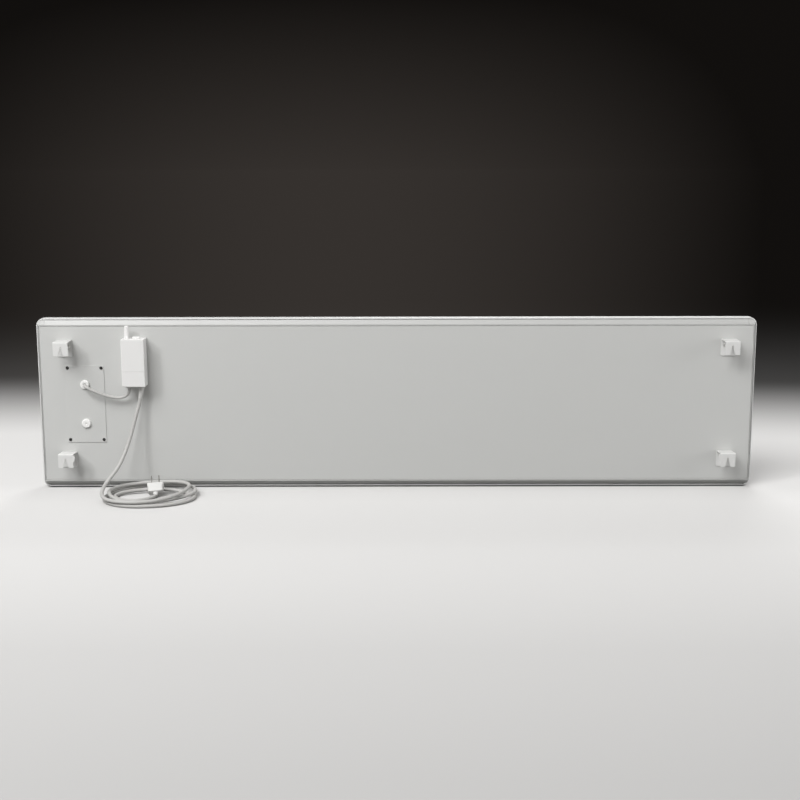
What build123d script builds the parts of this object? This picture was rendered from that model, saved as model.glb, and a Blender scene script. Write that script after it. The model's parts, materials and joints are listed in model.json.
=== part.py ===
from build123d import *
import math
import os

# Infrared panel heater, seen from behind as it stands on its lower edge.
# +X is to the right, +Y points out of the heated face, +Z is up, millimetres.
# Depths behind the back plate (towards the wall) are called "rear" and grow in -Y.

os.makedirs("parts", exist_ok=True)

# --- Panel -------------------------------------------------------------------
panel_width = 1250
panel_height = 300
corner_radius = 13.5
tray_depth = 16  # heated face to the rear lip of the tray
tray_wall = 2.4
face_sheet = 1.5
heel_rise, heel_run = 1.3, 6  # the underside rises to the lip, so the panel rests on its front
plate_proud = 4  # the back plate stands behind the lip by this much
plate_sheet = 1
sheet_edge = 0.3  # rounded edges of sheet metal parts
fit = 0.3  # clearance between neighbouring sheet parts

# --- Frame rails inside the tray ---------------------------------------------
long_set_in, long_bead = 8.1, 2.4  # top and bottom rail: groove with slope, bead
top_groove, bottom_groove = 0.5, 2.7
side_groove, side_slope, side_bead = 0.5, 1.1, 1.2  # side rails, across
rail_wall = 1.8
rail_foot = 8
groove_depth = 5
slope_recess = 0.5  # outer edge of the slope, inside the lip
bead_height = 0.6
rail_edge_round = 0.2
shelf_width = 7
corner_reach = 15  # corner piece, from the side edge of the panel

# --- Heating stack -----------------------------------------------------------
board_margin = 24
board_thickness = 1.6
busbar_width = 10
busbar_thickness = 0.3
busbar_inset = 2
insulation_margin = 43
insulation_thickness = 10

# --- Hooks -------------------------------------------------------------------
hook_reach = 32  # back plate to the outside of the front leaf
hook_sheet = 1.5
hook_width = 26
hook_from_side = 49  # hook centre to the side edge
upper_hook_drop = 37  # panel top to the upper hooks' flange
lower_hook_height = 66.5  # panel bottom to the lower hooks' flange
front_leaf = 24
rear_leaf = 29.5
notch_apex = 9  # below the flange
notch_hole = 3.2
notch_mouth = 10.5
leaf_round = 1.5
hook_bend = 1.0
flange_fall = 1.8  # of the lower hooks, towards the plate
lug_drop = 7.3  # below the flange, lower hooks: centre of the round lug on the inner edge
lug_height, lug_proud = 11.6, 3.3
strap_width = 23
strap_thickness = 2
strap_offset = 2.5  # strap centre, outwards from the hook centre
rivet_shank = 4.0
rivet_head = 6.5
rivet_head_height = 1.4
rivet_pitch = 12
rivet_drop = 11  # below the flange
rivet_upset = 1.2
rivet_clearance = 0.2

# --- Access plate and terminal tray ------------------------------------------
access_from_side = 81.3  # centre to the left edge of the panel
access_width = 68
access_height = 137
access_sheet = 1
access_round = 2
opening_width = 43.5
opening_height = 117
screw_pitch_x = 58.8
screw_pitch_z = 127.3
screw_shank = 3.4
screw_head = 5.6
screw_head_height = 1.7
screw_length = 6
screw_slot = 0.8
screw_hole_clearance = 0.4
grommet_pitch = 69
grommet_flange = 15.8
grommet_neck = 11
grommet_proud = 3.5
grommet_inner_flange = 13.5
grommet_inner_depth = 1.6
grommet_bore = 5.8
grommet_dimple = 4
terminal_tray_width = 50
terminal_tray_height = 130
terminal_tray_depth = 13
terminal_tray_sheet = 0.8
terminal_flange = 8
terminal_block_size = (30, 18, 11)  # X, Z, Y
terminal_block_rise = 27  # above the tray's lower end
lead_slot = (5, 10)  # Y, Z
lead_slot_rise = 7
earth_stud_size = (2, 6)  # radius, length
earth_nut_size = (4, 3)  # half width across the flats, height

# --- Over-temperature cut-out and wiring --------------------------------------
cutout_diameter = 16
cutout_height = 7
cutout_flange = (26, 9, 0.8)
cutout_pocket = 30
cutout_from_side = 145
cutout_height_above = 110
lead_diameter = 2.4
lead_rest = 0.2  # leads lie this far off the insulation

# --- Receiver box on the back plate --------------------------------------------
receiver_from_side = 171.4  # centre to the left edge of the panel
receiver_top_drop = 32.7
receiver_width = 40
receiver_height = 83
receiver_depth = 27
receiver_wall = 1.8
receiver_round = 1.3
pad_thickness = 1
pad_size = (30, 62)
base_depth = 7  # back plate to the seam between base and covers
base_floor = 2
cover_split = 26.8  # terminal cover height
seam = 0.3
boss_diameter = 5
boss_height = 1.2
boss_inset = (6, 9)
circuit_board = (34, 76, 1.6)
board_screw = (2.2, 4.4, 1.4)  # shank, head, head height
relay_size = (15.5, 19, 12.5)
power_size = (20, 26, 11)
terminals_size = (28, 10.5, 10)

# --- Button, antenna, glands ---------------------------------------------------
button_offset = 4.5  # centre, right of the box centre
button_size = (12, 6)
button_rear = 13.5  # centre behind the back plate
button_proud = 3
button_travel = 1.0
button_gap = 0.35
button_lip = 1.0
switch_size = (6, 3.6, 10.0)  # X, Z, Y
plunger_diameter = 3
plunger_length = 2.4
running_gap = 0.08
antenna_offset = -11.3
antenna_rear = 14
antenna_length = 22
antenna_base, antenna_tip = 8.5, 7.2
antenna_collar = (9.6, 1.5)
antenna_spigot = 6
antenna_nut = (9, 1.4)
gland_offset = -10
gland_rear = 13.5
gland_diameter = 9.6
gland_neck = 7.4
gland_length = 4
relief_offset = 12
relief_lean = 10  # degrees to the left of straight down
relief_length = 22
relief_root, relief_tip = 9.6, 7.4
relief_rings = 5
relief_ring_depth = 0.3
inner_flange = 1.5

# --- Cords ---------------------------------------------------------------------
mains_diameter = 6.4
link_diameter = 5.2
core_diameter = 1.8
bend_share = 0.45  # share of the shorter run that an arc may take
floor_gap = 0.1
turn_gap = 0.6

# --- Plug ------------------------------------------------------------------------
plug_length = 17
plug_rear = (25, 13.5)
plug_front = (28.5, 15)
plug_round = 3
plug_edge = 1.2
blade_pitch = 12.7
blade_size = (1.5, 6.3)
blade_length = 17.5
blade_hole = 3.2
blade_hole_from_tip = 4.0
blade_root = 4
plug_tilt, plug_yaw, plug_roll = 42, 10, 4

# --- Where the layers lie in depth ------------------------------------------------
overall_depth = tray_depth + plate_proud + hook_reach
y_face = overall_depth / 2
y_inner = y_face - face_sheet
y_lip = y_face - tray_depth
y_plate = y_lip - plate_proud
y_plate_in = y_plate + plate_sheet
y_hook = y_plate - hook_reach
y_board = y_inner - board_thickness
y_insulation = y_board - insulation_thickness
y_access = y_plate - access_sheet
y_terminal_floor = y_plate_in + terminal_tray_depth - terminal_tray_sheet
y_lead = y_insulation - lead_diameter / 2 - lead_rest

rail_edge = tray_wall + fit
long_margin = rail_edge + long_set_in + long_bead
long_grooves = {"bottom": bottom_groove, "top": top_groove}
side_margin = rail_edge + side_groove + side_slope + side_bead
middle_height = panel_height / 2
plate_width = panel_width - 2 * (side_margin + fit)
plate_height = panel_height - 2 * (long_margin + fit)
x_hook = panel_width / 2 - hook_from_side
x_strap = x_hook + strap_offset
strap_height = panel_height - 2 * (long_margin + shelf_width + fit)
x_access = -panel_width / 2 + access_from_side
x_tray = -x_strap + strap_width / 2 + fit + terminal_tray_width / 2
z_grommet = middle_height + grommet_pitch / 2
x_receiver = -panel_width / 2 + receiver_from_side
z_receiver_top = panel_height - receiver_top_drop
z_receiver = z_receiver_top - receiver_height
z_split = z_receiver + cover_split
y_receiver = y_plate - receiver_depth
y_base = y_plate - base_depth
y_pad = y_plate - pad_thickness
y_circuit = y_pad - base_floor - boss_height
hook_tops = {"upper": panel_height - upper_hook_drop, "lower": lower_hook_height}
sides = {"left": -1, "right": 1}


def rear_plane(y):
    """A plane at depth y that faces the wall: sketch x is X, sketch y is Z."""
    return Plane.XZ.offset(-y)


def keep(piece, label):
    """Label a finished piece and write its file."""
    piece.part.label = label
    export_step(piece.part, f"parts/{label}.step")


# --- Heated face: a shallow steel tray ---------------------------------------------
with BuildPart() as front_panel:
    with BuildSketch(rear_plane(y_face)):
        with Locations((0, middle_height)):
            RectangleRounded(panel_width, panel_height, corner_radius)
    extrude(amount=tray_depth)
    with BuildSketch(rear_plane(y_inner)):
        with Locations((0, middle_height)):
            RectangleRounded(
                panel_width - 2 * tray_wall, panel_height - 2 * tray_wall, corner_radius - tray_wall
            )
    extrude(amount=tray_depth, mode=Mode.SUBTRACT)
    face_round = 0.9 * min(face_sheet, tray_wall)
    lip_outer, lip_inner = 0.8 * tray_wall, 0.12 * tray_wall
    fillet(front_panel.faces().sort_by(Axis.Y)[-1].edges(), face_round)
    fillet(front_panel.faces().sort_by(Axis.Y)[0].outer_wire().edges(), lip_outer)
    fillet(front_panel.faces().sort_by(Axis.Y)[0].inner_wires().edges(), lip_inner)
    with BuildSketch(Plane.YZ.offset(-panel_width / 2)):
        with BuildLine():
            heel = [(y_lip, 0), (y_lip + heel_run, 0), (y_lip, heel_rise)]
            Polyline(*heel, close=True)
        make_face()
    extrude(amount=panel_width, mode=Mode.SUBTRACT)
keep(front_panel, "front_panel")


# --- Frame rails: an edge groove, a sloped face, a bead and a shelf for the plate -----
def rail_section(groove, slope, bead):
    """Section points as (distance in from the panel's edge, y)."""
    v1 = rail_edge + groove
    v2 = v1 + slope
    v3 = v2 + bead
    y_groove = y_lip + groove_depth
    y_slope = y_lip + slope_recess
    y_bead = y_plate - bead_height
    return [
        (rail_edge, y_inner),
        (rail_edge, y_groove),
        (v1, y_groove),
        (v1, y_slope),
        (v2, y_plate),
        (v2, y_bead),
        (v3, y_bead),
        (v3, y_plate_in),
        (v3 + shelf_width, y_plate_in),
        (v3 + shelf_width, y_plate_in + rail_wall),
        (v1 + rail_wall, y_slope + rail_wall),
        (v1 + rail_wall, y_groove + rail_wall),
        (rail_edge + rail_wall, y_groove + rail_wall),
        (rail_edge + rail_wall, y_inner - rail_wall),
        (rail_edge + rail_foot, y_inner - rail_wall),
        (rail_edge + rail_foot, y_inner),
    ]


def solid_section(groove, slope, reach):
    """The outer half of the same section, filled, for the corner pieces."""
    outer = rail_section(groove, slope, reach - rail_edge - groove - slope)
    return outer[:7] + [(reach, y_inner)]


long_rail_length = panel_width - 2 * (corner_reach + fit / 2)
for level, groove in long_grooves.items():
    with BuildPart() as long_rail:
        with BuildSketch(Plane.YZ.offset(-long_rail_length / 2)):
            with BuildLine():
                section = rail_section(groove, long_set_in - groove, long_bead)
                heights = [v if level == "bottom" else panel_height - v for v, y in section]
                Polyline(*[(y, z) for (v, y), z in zip(section, heights)], close=True)
            face = make_face()
            fillet(face.vertices(), rail_edge_round)
        extrude(amount=long_rail_length)
    keep(long_rail, f"{level}_rail")

side_rail_length = panel_height - 2 * (long_margin + fit)
for side, sign in sides.items():
    with BuildPart() as side_rail:
        with BuildSketch(Plane.XY.offset(long_margin + fit)):
            with BuildLine():
                section = rail_section(side_groove, side_slope, side_bead)
                Polyline(*[(sign * (panel_width / 2 - v), y) for v, y in section], close=True)
            face = make_face()
            fillet(face.vertices(), rail_edge_round)
        extrude(amount=side_rail_length)
    keep(side_rail, f"{side}_rail")

corner_length = corner_reach - rail_edge - fit / 2
for level, groove in long_grooves.items():
    for side, sign in sides.items():
        with BuildPart() as corner_piece:
            x_outer = sign * (panel_width / 2 - rail_edge)
            with BuildSketch(Plane.YZ.offset(min(x_outer, x_outer - sign * corner_length))):
                with BuildLine():
                    section = solid_section(groove, long_set_in - groove, long_margin)
                    heights = [v if level == "bottom" else panel_height - v for v, y in section]
                    Polyline(*[(y, z) for (v, y), z in zip(section, heights)], close=True)
                make_face()
            extrude(amount=corner_length)
            with BuildSketch(Plane.XY):
                with BuildLine():
                    section = solid_section(side_groove, side_slope, corner_reach)
                    Polyline(*[(sign * (panel_width / 2 - v), y) for v, y in section], close=True)
                make_face()
            extrude(amount=panel_height, mode=Mode.INTERSECT)
            with BuildSketch(rear_plane(y_inner)):
                with Locations((0, middle_height)):
                    RectangleRounded(
                        panel_width - 2 * rail_edge, panel_height - 2 * rail_edge, corner_radius - rail_edge
                    )
            extrude(amount=overall_depth, mode=Mode.INTERSECT)
        keep(corner_piece, f"corner_{level}_{side}")

# --- Heating board, its bus bars and the insulation behind it ---------------------------
heated_width = panel_width - 2 * board_margin
heated_height = panel_height - 2 * board_margin
with BuildPart() as heating_board:
    with BuildSketch(rear_plane(y_inner)):
        with Locations((0, middle_height)):
            Rectangle(heated_width, heated_height)
    extrude(amount=board_thickness)
keep(heating_board, "heating_board")

with BuildPart() as busbars:
    x_busbar = heated_width / 2 - busbar_inset - busbar_width / 2
    with BuildSketch(rear_plane(y_board)):
        with Locations((-x_busbar, middle_height), (x_busbar, middle_height)):
            Rectangle(busbar_width, heated_height - 2 * busbar_inset)
    extrude(amount=busbar_thickness)
keep(busbars, "busbars")

insulation_width = panel_width - 2 * insulation_margin
x_cutout = -panel_width / 2 + cutout_from_side
notch_right = x_tray + terminal_tray_width / 2 + terminal_flange + fit
notch_width = notch_right + insulation_width / 2
with BuildPart() as insulation_board:
    with BuildSketch(rear_plane(y_board)):
        with Locations((0, middle_height)):
            Rectangle(insulation_width, heated_height)
        with Locations((notch_right - notch_width / 2, middle_height)):
            Rectangle(notch_width, terminal_tray_height + 2 * terminal_flange, mode=Mode.SUBTRACT)
        with Locations((x_cutout, cutout_height_above)):
            Rectangle(cutout_pocket, cutout_pocket, mode=Mode.SUBTRACT)
    extrude(amount=insulation_thickness)
keep(insulation_board, "insulation_board")

with BuildPart() as thermal_cutout:
    flange_width, flange_height, flange_sheet = cutout_flange
    with BuildSketch(rear_plane(y_board)):
        with Locations((x_cutout, cutout_height_above)):
            RectangleRounded(flange_width, flange_height, flange_height / 3)
    extrude(amount=flange_sheet)
    with BuildSketch(rear_plane(y_board)):
        with Locations((x_cutout, cutout_height_above)):
            Circle(cutout_diameter / 2)
    extrude(amount=cutout_height)
keep(thermal_cutout, "thermal_cutout")

# --- Back plate, with the opening behind the access plate ---------------------------------
screw_spots = [
    (x_access + sx * screw_pitch_x / 2, middle_height + sz * screw_pitch_z / 2)
    for sx in (-1, 1)
    for sz in (-1, 1)
]
rivet_spots = [
    (sign * x_hook + dx * rivet_pitch / 2, top - rivet_drop)
    for sign in sides.values()
    for dx in (-1, 1)
    for top in hook_tops.values()
]
rivet_hole = rivet_shank / 2 + rivet_clearance
screw_hole = screw_shank / 2 + screw_hole_clearance / 2

with BuildPart() as back_plate:
    with BuildSketch(rear_plane(y_plate_in)):
        with Locations((0, middle_height)):
            Rectangle(plate_width, plate_height)
        with Locations((x_access, middle_height)):
            Rectangle(opening_width, opening_height, mode=Mode.SUBTRACT)
        with Locations(screw_spots):
            Circle(screw_hole, mode=Mode.SUBTRACT)
        with Locations(rivet_spots):
            Circle(rivet_hole, mode=Mode.SUBTRACT)
    extrude(amount=plate_sheet)
    plate_face = back_plate.faces().sort_by(Axis.Y)[0]
    fillet(plate_face.outer_wire().edges(), min(sheet_edge, plate_sheet / 2.5))
keep(back_plate, "back_plate")

for side, sign in sides.items():
    with BuildPart() as strap:
        with BuildSketch(rear_plane(y_plate_in + strap_thickness)):
            with Locations((sign * x_strap, middle_height)):
                Rectangle(strap_width, strap_height)
            with Locations([spot for spot in rivet_spots if spot[0] * sign > 0]):
                Circle(rivet_hole, mode=Mode.SUBTRACT)
            if side == "left":
                with Locations([spot for spot in screw_spots if spot[0] < x_access]):
                    Circle(screw_hole, mode=Mode.SUBTRACT)
        extrude(amount=strap_thickness)
    keep(strap, f"{side}_strap")


# --- Hooks: bent sheet, a notched front leaf; the lower pair's has a lug at its side --------
def hook_centreline(top, fall):
    """Mid-sheet line of a hook in (y, z), from the rear leaf to the front leaf's end."""
    half = hook_sheet / 2
    y_rear, y_front = y_plate - half, y_hook + half
    return [
        (y_rear, top - rear_leaf),
        (y_rear, top - half - fall),
        (y_front, top - half),
        (y_front, top - front_leaf),
    ]


def at_height(edge, heights):
    """Whether an edge lies at one of these heights."""
    return any(abs(edge.center().Z - height) < 0.01 for height in heights)


for level, top in hook_tops.items():
    for side, sign in sides.items():
        with BuildPart() as hook:
            with BuildSketch(Plane.YZ.offset(sign * x_hook - hook_width / 2)):
                with BuildLine() as bend:
                    fall = flange_fall if level == "lower" else 0
                    FilletPolyline(*hook_centreline(top, fall), radius=hook_bend)
                trace(line_width=hook_sheet)
            extrude(amount=hook_width)
            with BuildSketch(rear_plane(y_plate - hook_sheet - hook_bend)):
                apex = (sign * x_hook, top - notch_apex)
                with Locations(apex):
                    Circle(notch_hole / 2)
                with BuildLine():
                    mouth_z = top - front_leaf - hook_sheet
                    Polyline(
                        (apex[0] - notch_hole / 4, apex[1]),
                        (apex[0] + notch_hole / 4, apex[1]),
                        (apex[0] + notch_mouth / 2, mouth_z),
                        (apex[0] - notch_mouth / 2, mouth_z),
                        close=True,
                    )
                make_face()
            extrude(amount=hook_reach, mode=Mode.SUBTRACT)
            with BuildSketch(rear_plane(y_plate - hook_sheet)):
                with Locations([spot for spot in rivet_spots if spot[0] * sign > 0]):
                    Circle(rivet_hole)
            extrude(amount=-2 * hook_sheet, mode=Mode.SUBTRACT)
            if level == "lower":
                with BuildSketch(rear_plane(y_hook + hook_sheet)):
                    with Locations((sign * (x_hook - hook_width / 2), top - lug_drop)):
                        Ellipse(lug_proud, lug_height / 2)
                extrude(amount=hook_sheet)
            ends = (top - front_leaf, top - rear_leaf)
            across = hook.edges().filter_by(Axis.Y)
            fillet([edge for edge in across if at_height(edge, ends)], leaf_round)
        keep(hook, f"{level}_{side}_hook")

with BuildPart() as hook_rivets:
    y_rivet_head = y_plate - hook_sheet
    stack = hook_sheet + plate_sheet + strap_thickness
    with BuildSketch(rear_plane(y_rivet_head)):
        with Locations(rivet_spots):
            Circle(rivet_head / 2)
    extrude(amount=rivet_head_height, taper=25)
    with BuildSketch(rear_plane(y_rivet_head + stack + rivet_upset)):
        with Locations(rivet_spots):
            Circle(rivet_shank / 2)
    extrude(amount=stack + rivet_upset)
    with BuildSketch(rear_plane(y_rivet_head + stack + rivet_upset)):
        with Locations(rivet_spots):
            Circle(rivet_shank / 2 + rivet_upset / 2)
    extrude(amount=rivet_upset)
keep(hook_rivets, "hook_rivets")

# --- Access plate, its screws and its two grommets ------------------------------------------
with BuildPart() as access_plate:
    with BuildSketch(rear_plane(y_plate)):
        with Locations((x_access, middle_height)):
            RectangleRounded(access_width, access_height, access_round)
        with Locations(screw_spots):
            Circle(screw_hole, mode=Mode.SUBTRACT)
        with Locations((x_access, z_grommet), (x_access, 2 * middle_height - z_grommet)):
            Circle(grommet_neck / 2 + fit / 2, mode=Mode.SUBTRACT)
    extrude(amount=access_sheet)
    access_face = access_plate.faces().sort_by(Axis.Y)[0]
    fillet(access_face.outer_wire().edges(), min(sheet_edge, access_sheet / 2.5))
keep(access_plate, "access_plate")

with BuildPart() as access_screws:
    with BuildSketch(rear_plane(y_access)):
        with Locations(screw_spots):
            Circle(screw_head / 2)
    extrude(amount=screw_head_height)
    fillet(access_screws.faces().sort_by(Axis.Y)[0:4].edges(), screw_head_height / 2)
    with BuildSketch(rear_plane(y_access)):
        with Locations(screw_spots):
            Circle(screw_shank / 2)
    extrude(amount=-screw_length)
    with BuildSketch(rear_plane(y_access - screw_head_height)):
        with Locations(screw_spots):
            Rectangle(0.65 * screw_head, screw_slot)
            Rectangle(screw_slot, 0.65 * screw_head)
    extrude(amount=-screw_head_height / 2, mode=Mode.SUBTRACT)
keep(access_screws, "access_screws")


def grommet_profile(bore):
    """Half section of a rubber grommet in (radius, distance behind the access plate)."""
    half_flange = grommet_flange / 2
    edge = grommet_proud / 2
    with BuildLine() as outline:
        Polyline(
            (bore, grommet_proud),
            (half_flange - edge, grommet_proud),
        )
        RadiusArc((half_flange - edge, grommet_proud), (half_flange, grommet_proud - edge), edge)
        Polyline(
            (half_flange, grommet_proud - edge),
            (half_flange, 0),
            (grommet_neck / 2, 0),
            (grommet_neck / 2, -access_sheet),
            (grommet_inner_flange / 2, -access_sheet),
            (grommet_inner_flange / 2, -access_sheet - grommet_inner_depth),
            (bore, -access_sheet - grommet_inner_depth),
            (bore, grommet_proud),
        )
    return outline.line


for label, z, bore in (
    ("cable_grommet", z_grommet, grommet_bore / 2),
    ("blank_grommet", 2 * middle_height - z_grommet, 0),
):
    with BuildPart() as grommet:
        axis_plane = Plane(origin=(x_access, y_access, z), x_dir=(1, 0, 0), z_dir=(0, 0, 1))
        with BuildSketch(axis_plane):
            with BuildLine():
                add(grommet_profile(bore).mirror(Plane.XZ))
            make_face()
        revolve(axis=Axis((x_access, y_access, z), (0, 1, 0)))
        if bore == 0:
            with BuildSketch(rear_plane(y_access - grommet_proud)):
                with Locations((x_access, z)):
                    Circle(grommet_dimple / 2)
            extrude(amount=-grommet_proud / 2, mode=Mode.SUBTRACT, taper=20)
    keep(grommet, label)

# --- Terminal tray behind the access opening ---------------------------------------------------
x_tray_right = x_tray + terminal_tray_width / 2
z_tray_low = middle_height - terminal_tray_height / 2
z_block = z_tray_low + terminal_block_rise
z_lead = z_tray_low + lead_slot_rise
with BuildPart() as terminal_tray:
    y_tray_floor = y_plate_in + terminal_tray_depth
    with BuildSketch(rear_plane(y_tray_floor)):
        with Locations((x_tray, middle_height)):
            Rectangle(terminal_tray_width, terminal_tray_height)
    extrude(amount=terminal_tray_depth)
    with BuildSketch(rear_plane(y_terminal_floor)):
        with Locations((x_tray, middle_height)):
            Rectangle(
                terminal_tray_width - 2 * terminal_tray_sheet,
                terminal_tray_height - 2 * terminal_tray_sheet,
            )
    extrude(amount=terminal_tray_depth, mode=Mode.SUBTRACT)
    with BuildSketch(rear_plane(y_plate_in + terminal_tray_sheet)):
        with Locations((x_tray_right + terminal_flange / 2, middle_height)):
            Rectangle(terminal_flange, terminal_tray_height)
        with Locations([spot for spot in screw_spots if spot[0] > x_access]):
            Circle(screw_hole, mode=Mode.SUBTRACT)
    extrude(amount=terminal_tray_sheet)
    with Locations((x_tray, y_lead, z_lead)):
        Box(2 * terminal_tray_width, lead_slot[0], lead_slot[1], mode=Mode.SUBTRACT)
keep(terminal_tray, "terminal_tray")

block_width, block_height, block_depth = terminal_block_size
y_block = y_terminal_floor - block_depth
y_ways = y_terminal_floor - block_depth / 3
with BuildPart() as terminal_block:
    with BuildSketch(rear_plane(y_terminal_floor)):
        with Locations((x_tray, z_block)):
            Rectangle(block_width, block_height)
    extrude(amount=block_depth)
    with Locations((x_tray, y_ways, z_block)):
        with GridLocations(block_width / 3, 0, 3, 1):
            Cylinder(lead_diameter / 2 + fit / 2, block_height, mode=Mode.SUBTRACT)
    with BuildSketch(rear_plane(y_block)):
        with Locations((x_tray, z_block)):
            with GridLocations(block_width / 3, block_height / 2, 3, 2):
                Circle(screw_shank / 2 + fit)
    extrude(amount=-block_depth / 3, mode=Mode.SUBTRACT)
keep(terminal_block, "terminal_block")

with BuildPart() as terminal_screws:
    with BuildSketch(rear_plane(y_block + block_depth / 3)):
        with Locations((x_tray, z_block)):
            with GridLocations(block_width / 3, block_height / 2, 3, 2):
                Circle(screw_shank / 2)
    extrude(amount=block_depth / 3 - fit)
keep(terminal_screws, "terminal_screws")


# --- Cords and wires: straight runs joined by tangent arcs ----------------------------------------
def bend_radii(points):
    """One arc radius for each inner point: a share of the shorter run over tan(half turn)."""
    vectors = [Vector(*point) for point in points]
    radii = []
    for before, here, after in zip(vectors, vectors[1:], vectors[2:]):
        turn = (here - before).get_angle(after - here)
        run = min((here - before).length, (after - here).length)
        radii.append(bend_share * run / math.tan(math.radians(turn) / 2))
    return radii


def tube(points, diameter, label):
    """Sweep a round cord along its route, print its figures and write it."""
    radii = bend_radii(points)
    with BuildPart() as cord:
        with BuildLine() as route:
            FilletPolyline(*points, radius=radii)
        wire = route.wire()
        with BuildSketch(Plane(origin=wire @ 0, z_dir=wire % 0)):
            Circle(diameter / 2)
        sweep()
    length = wire.length
    expected = math.pi * diameter**2 / 4 * length
    print(
        f"{label}: {length:.0f} mm, least radius {min(radii):.1f}, "
        f"volume {cord.part.volume / expected:.4f} of section x length, "
        f"radii {[round(radius) for radius in radii]}"
    )
    keep(cord, label)
    return length


def behind(x, rear, z):
    """A point given by its distance behind the back plate."""
    return (x, y_plate - rear, z)


y_cutout = y_board - cutout_height
cutout_way = cutout_diameter / 4
z_way_in = z_block - block_height / 2
way_depth = 4  # how far a core reaches into the block
x_live = x_tray + block_width / 3
x_neutral = x_tray - block_width / 3
tube(
    [
        (x_cutout, y_cutout, cutout_height_above - cutout_way),
        (x_cutout, y_lead, cutout_height_above - cutout_way),
        (x_cutout - cutout_pocket / 2, y_lead, z_lead),
        (x_live + terminal_flange, y_lead, z_lead),
        (x_live, y_ways, z_lead + 1),
        (x_live, y_ways, z_way_in + way_depth),
    ],
    lead_diameter,
    "live_lead",
)
x_busbar_left = -heated_width / 2 + busbar_inset + busbar_width / 2
y_busbar = y_board - busbar_thickness
tube(
    [
        (x_neutral, y_ways, z_way_in + way_depth),
        (x_neutral, y_ways, z_lead + 1),
        (x_neutral - terminal_flange, y_lead, z_lead),
        (x_busbar_left, y_lead, z_lead),
        (x_busbar_left, y_busbar, z_lead),
    ],
    lead_diameter,
    "neutral_lead",
)
tube(
    [
        (x_cutout, y_cutout, cutout_height_above + cutout_way),
        (x_cutout, y_lead, cutout_height_above + cutout_way),
        (x_cutout + cutout_pocket, y_lead, middle_height),
        (-x_busbar_left, y_lead, middle_height),
        (-x_busbar_left, y_busbar, middle_height),
    ],
    lead_diameter,
    "return_lead",
)
stud_radius, stud_length = earth_stud_size
nut_half, nut_thickness = earth_nut_size
z_stud = z_lead
with BuildPart() as earth_stud:
    with BuildSketch(rear_plane(y_terminal_floor)):
        with Locations((x_tray, z_stud)):
            Circle(stud_radius)
    extrude(amount=stud_length)
    with BuildSketch(rear_plane(y_ways + nut_thickness / 2)):
        with Locations((x_tray, z_stud)):
            RegularPolygon(nut_half, 6, major_radius=False)
    extrude(amount=nut_thickness)
keep(earth_stud, "earth_stud")

with BuildPart() as earth_lead:
    with BuildSketch(Plane.XY.offset(z_stud + nut_half)):
        with Locations((x_tray, y_ways)):
            Circle(lead_diameter / 2)
    extrude(amount=z_way_in + way_depth - z_stud - nut_half)
keep(earth_lead, "earth_lead")

# --- Receiver box: pad, base, covers ----------------------------------------------------------------
z_receiver_middle = z_receiver + receiver_height / 2
with BuildPart() as mounting_pad:
    with BuildSketch(rear_plane(y_plate)):
        with Locations((x_receiver, z_receiver_middle)):
            RectangleRounded(*pad_size, receiver_round)
    extrude(amount=pad_thickness)
keep(mounting_pad, "mounting_pad")

boss_spots = [
    (
        x_receiver + sx * (receiver_width / 2 - boss_inset[0]),
        z_receiver_middle + sz * (receiver_height / 2 - boss_inset[1]),
    )
    for sx in (-1, 1)
    for sz in (-1, 1)
]
shank, head, head_height = board_screw
with BuildPart() as receiver_base:
    with BuildSketch(rear_plane(y_pad)):
        with Locations((x_receiver, z_receiver_middle)):
            RectangleRounded(receiver_width, receiver_height, receiver_round)
    extrude(amount=base_depth - pad_thickness)
    with BuildSketch(rear_plane(y_pad - base_floor)):
        with Locations((x_receiver, z_receiver_middle)):
            Rectangle(receiver_width - 2 * receiver_wall, receiver_height - 2 * receiver_wall)
    extrude(amount=base_depth, mode=Mode.SUBTRACT)
    with BuildSketch(rear_plane(y_pad - base_floor)):
        with Locations(boss_spots):
            Circle(boss_diameter / 2)
    extrude(amount=boss_height)
    with BuildSketch(rear_plane(y_circuit)):
        with Locations(boss_spots):
            Circle(shank / 2)
    extrude(amount=-boss_height - base_floor / 2, mode=Mode.SUBTRACT)
keep(receiver_base, "receiver_base")


def cover_shell(z_low, z_high, wall_top):
    """Outer and inner blocks of a receiver cover between two heights."""
    y_seam = y_base - seam
    with BuildPart() as shell:
        with BuildSketch(rear_plane(y_seam)):
            with Locations((x_receiver, (z_low + z_high) / 2)):
                Rectangle(receiver_width, z_high - z_low)
        extrude(amount=y_seam - y_receiver)
        closed_end = shell.faces().sort_by(Axis.Z)[-1 if wall_top else 0]
        front_face = shell.faces().sort_by(Axis.Y)[0]
        front_edges = front_face.edges()
        open_end = front_edges.sort_by(Axis.Z)[0 if wall_top else -1]
        rounded = front_edges - [open_end]
        rounded += closed_end.edges().filter_by(Axis.Y)
        fillet(rounded, receiver_round)
        cavity_low = z_low if wall_top else z_low + receiver_wall
        cavity_high = z_high - receiver_wall if wall_top else z_high
        with BuildSketch(rear_plane(y_seam)):
            with Locations((x_receiver, (cavity_low + cavity_high) / 2)):
                Rectangle(receiver_width - 2 * receiver_wall, cavity_high - cavity_low)
        extrude(amount=y_seam - y_receiver - receiver_wall, mode=Mode.SUBTRACT)
    return shell.part


x_button = x_receiver + button_offset
y_button = y_plate - button_rear
x_antenna = x_receiver + antenna_offset
y_antenna = y_plate - antenna_rear
with BuildPart() as receiver_cover:
    add(cover_shell(z_split + seam / 2, z_receiver_top, True))
    with BuildSketch(Plane.XY.offset(z_receiver_top)):
        with Locations((x_button, y_button)):
            RectangleRounded(button_size[0] + 2 * button_gap, button_size[1] + 2 * button_gap, 1)
        with Locations((x_antenna, y_antenna)):
            Circle(antenna_spigot / 2 + fit / 2)
    extrude(amount=-2 * receiver_wall, mode=Mode.SUBTRACT)
keep(receiver_cover, "receiver_cover")

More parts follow.
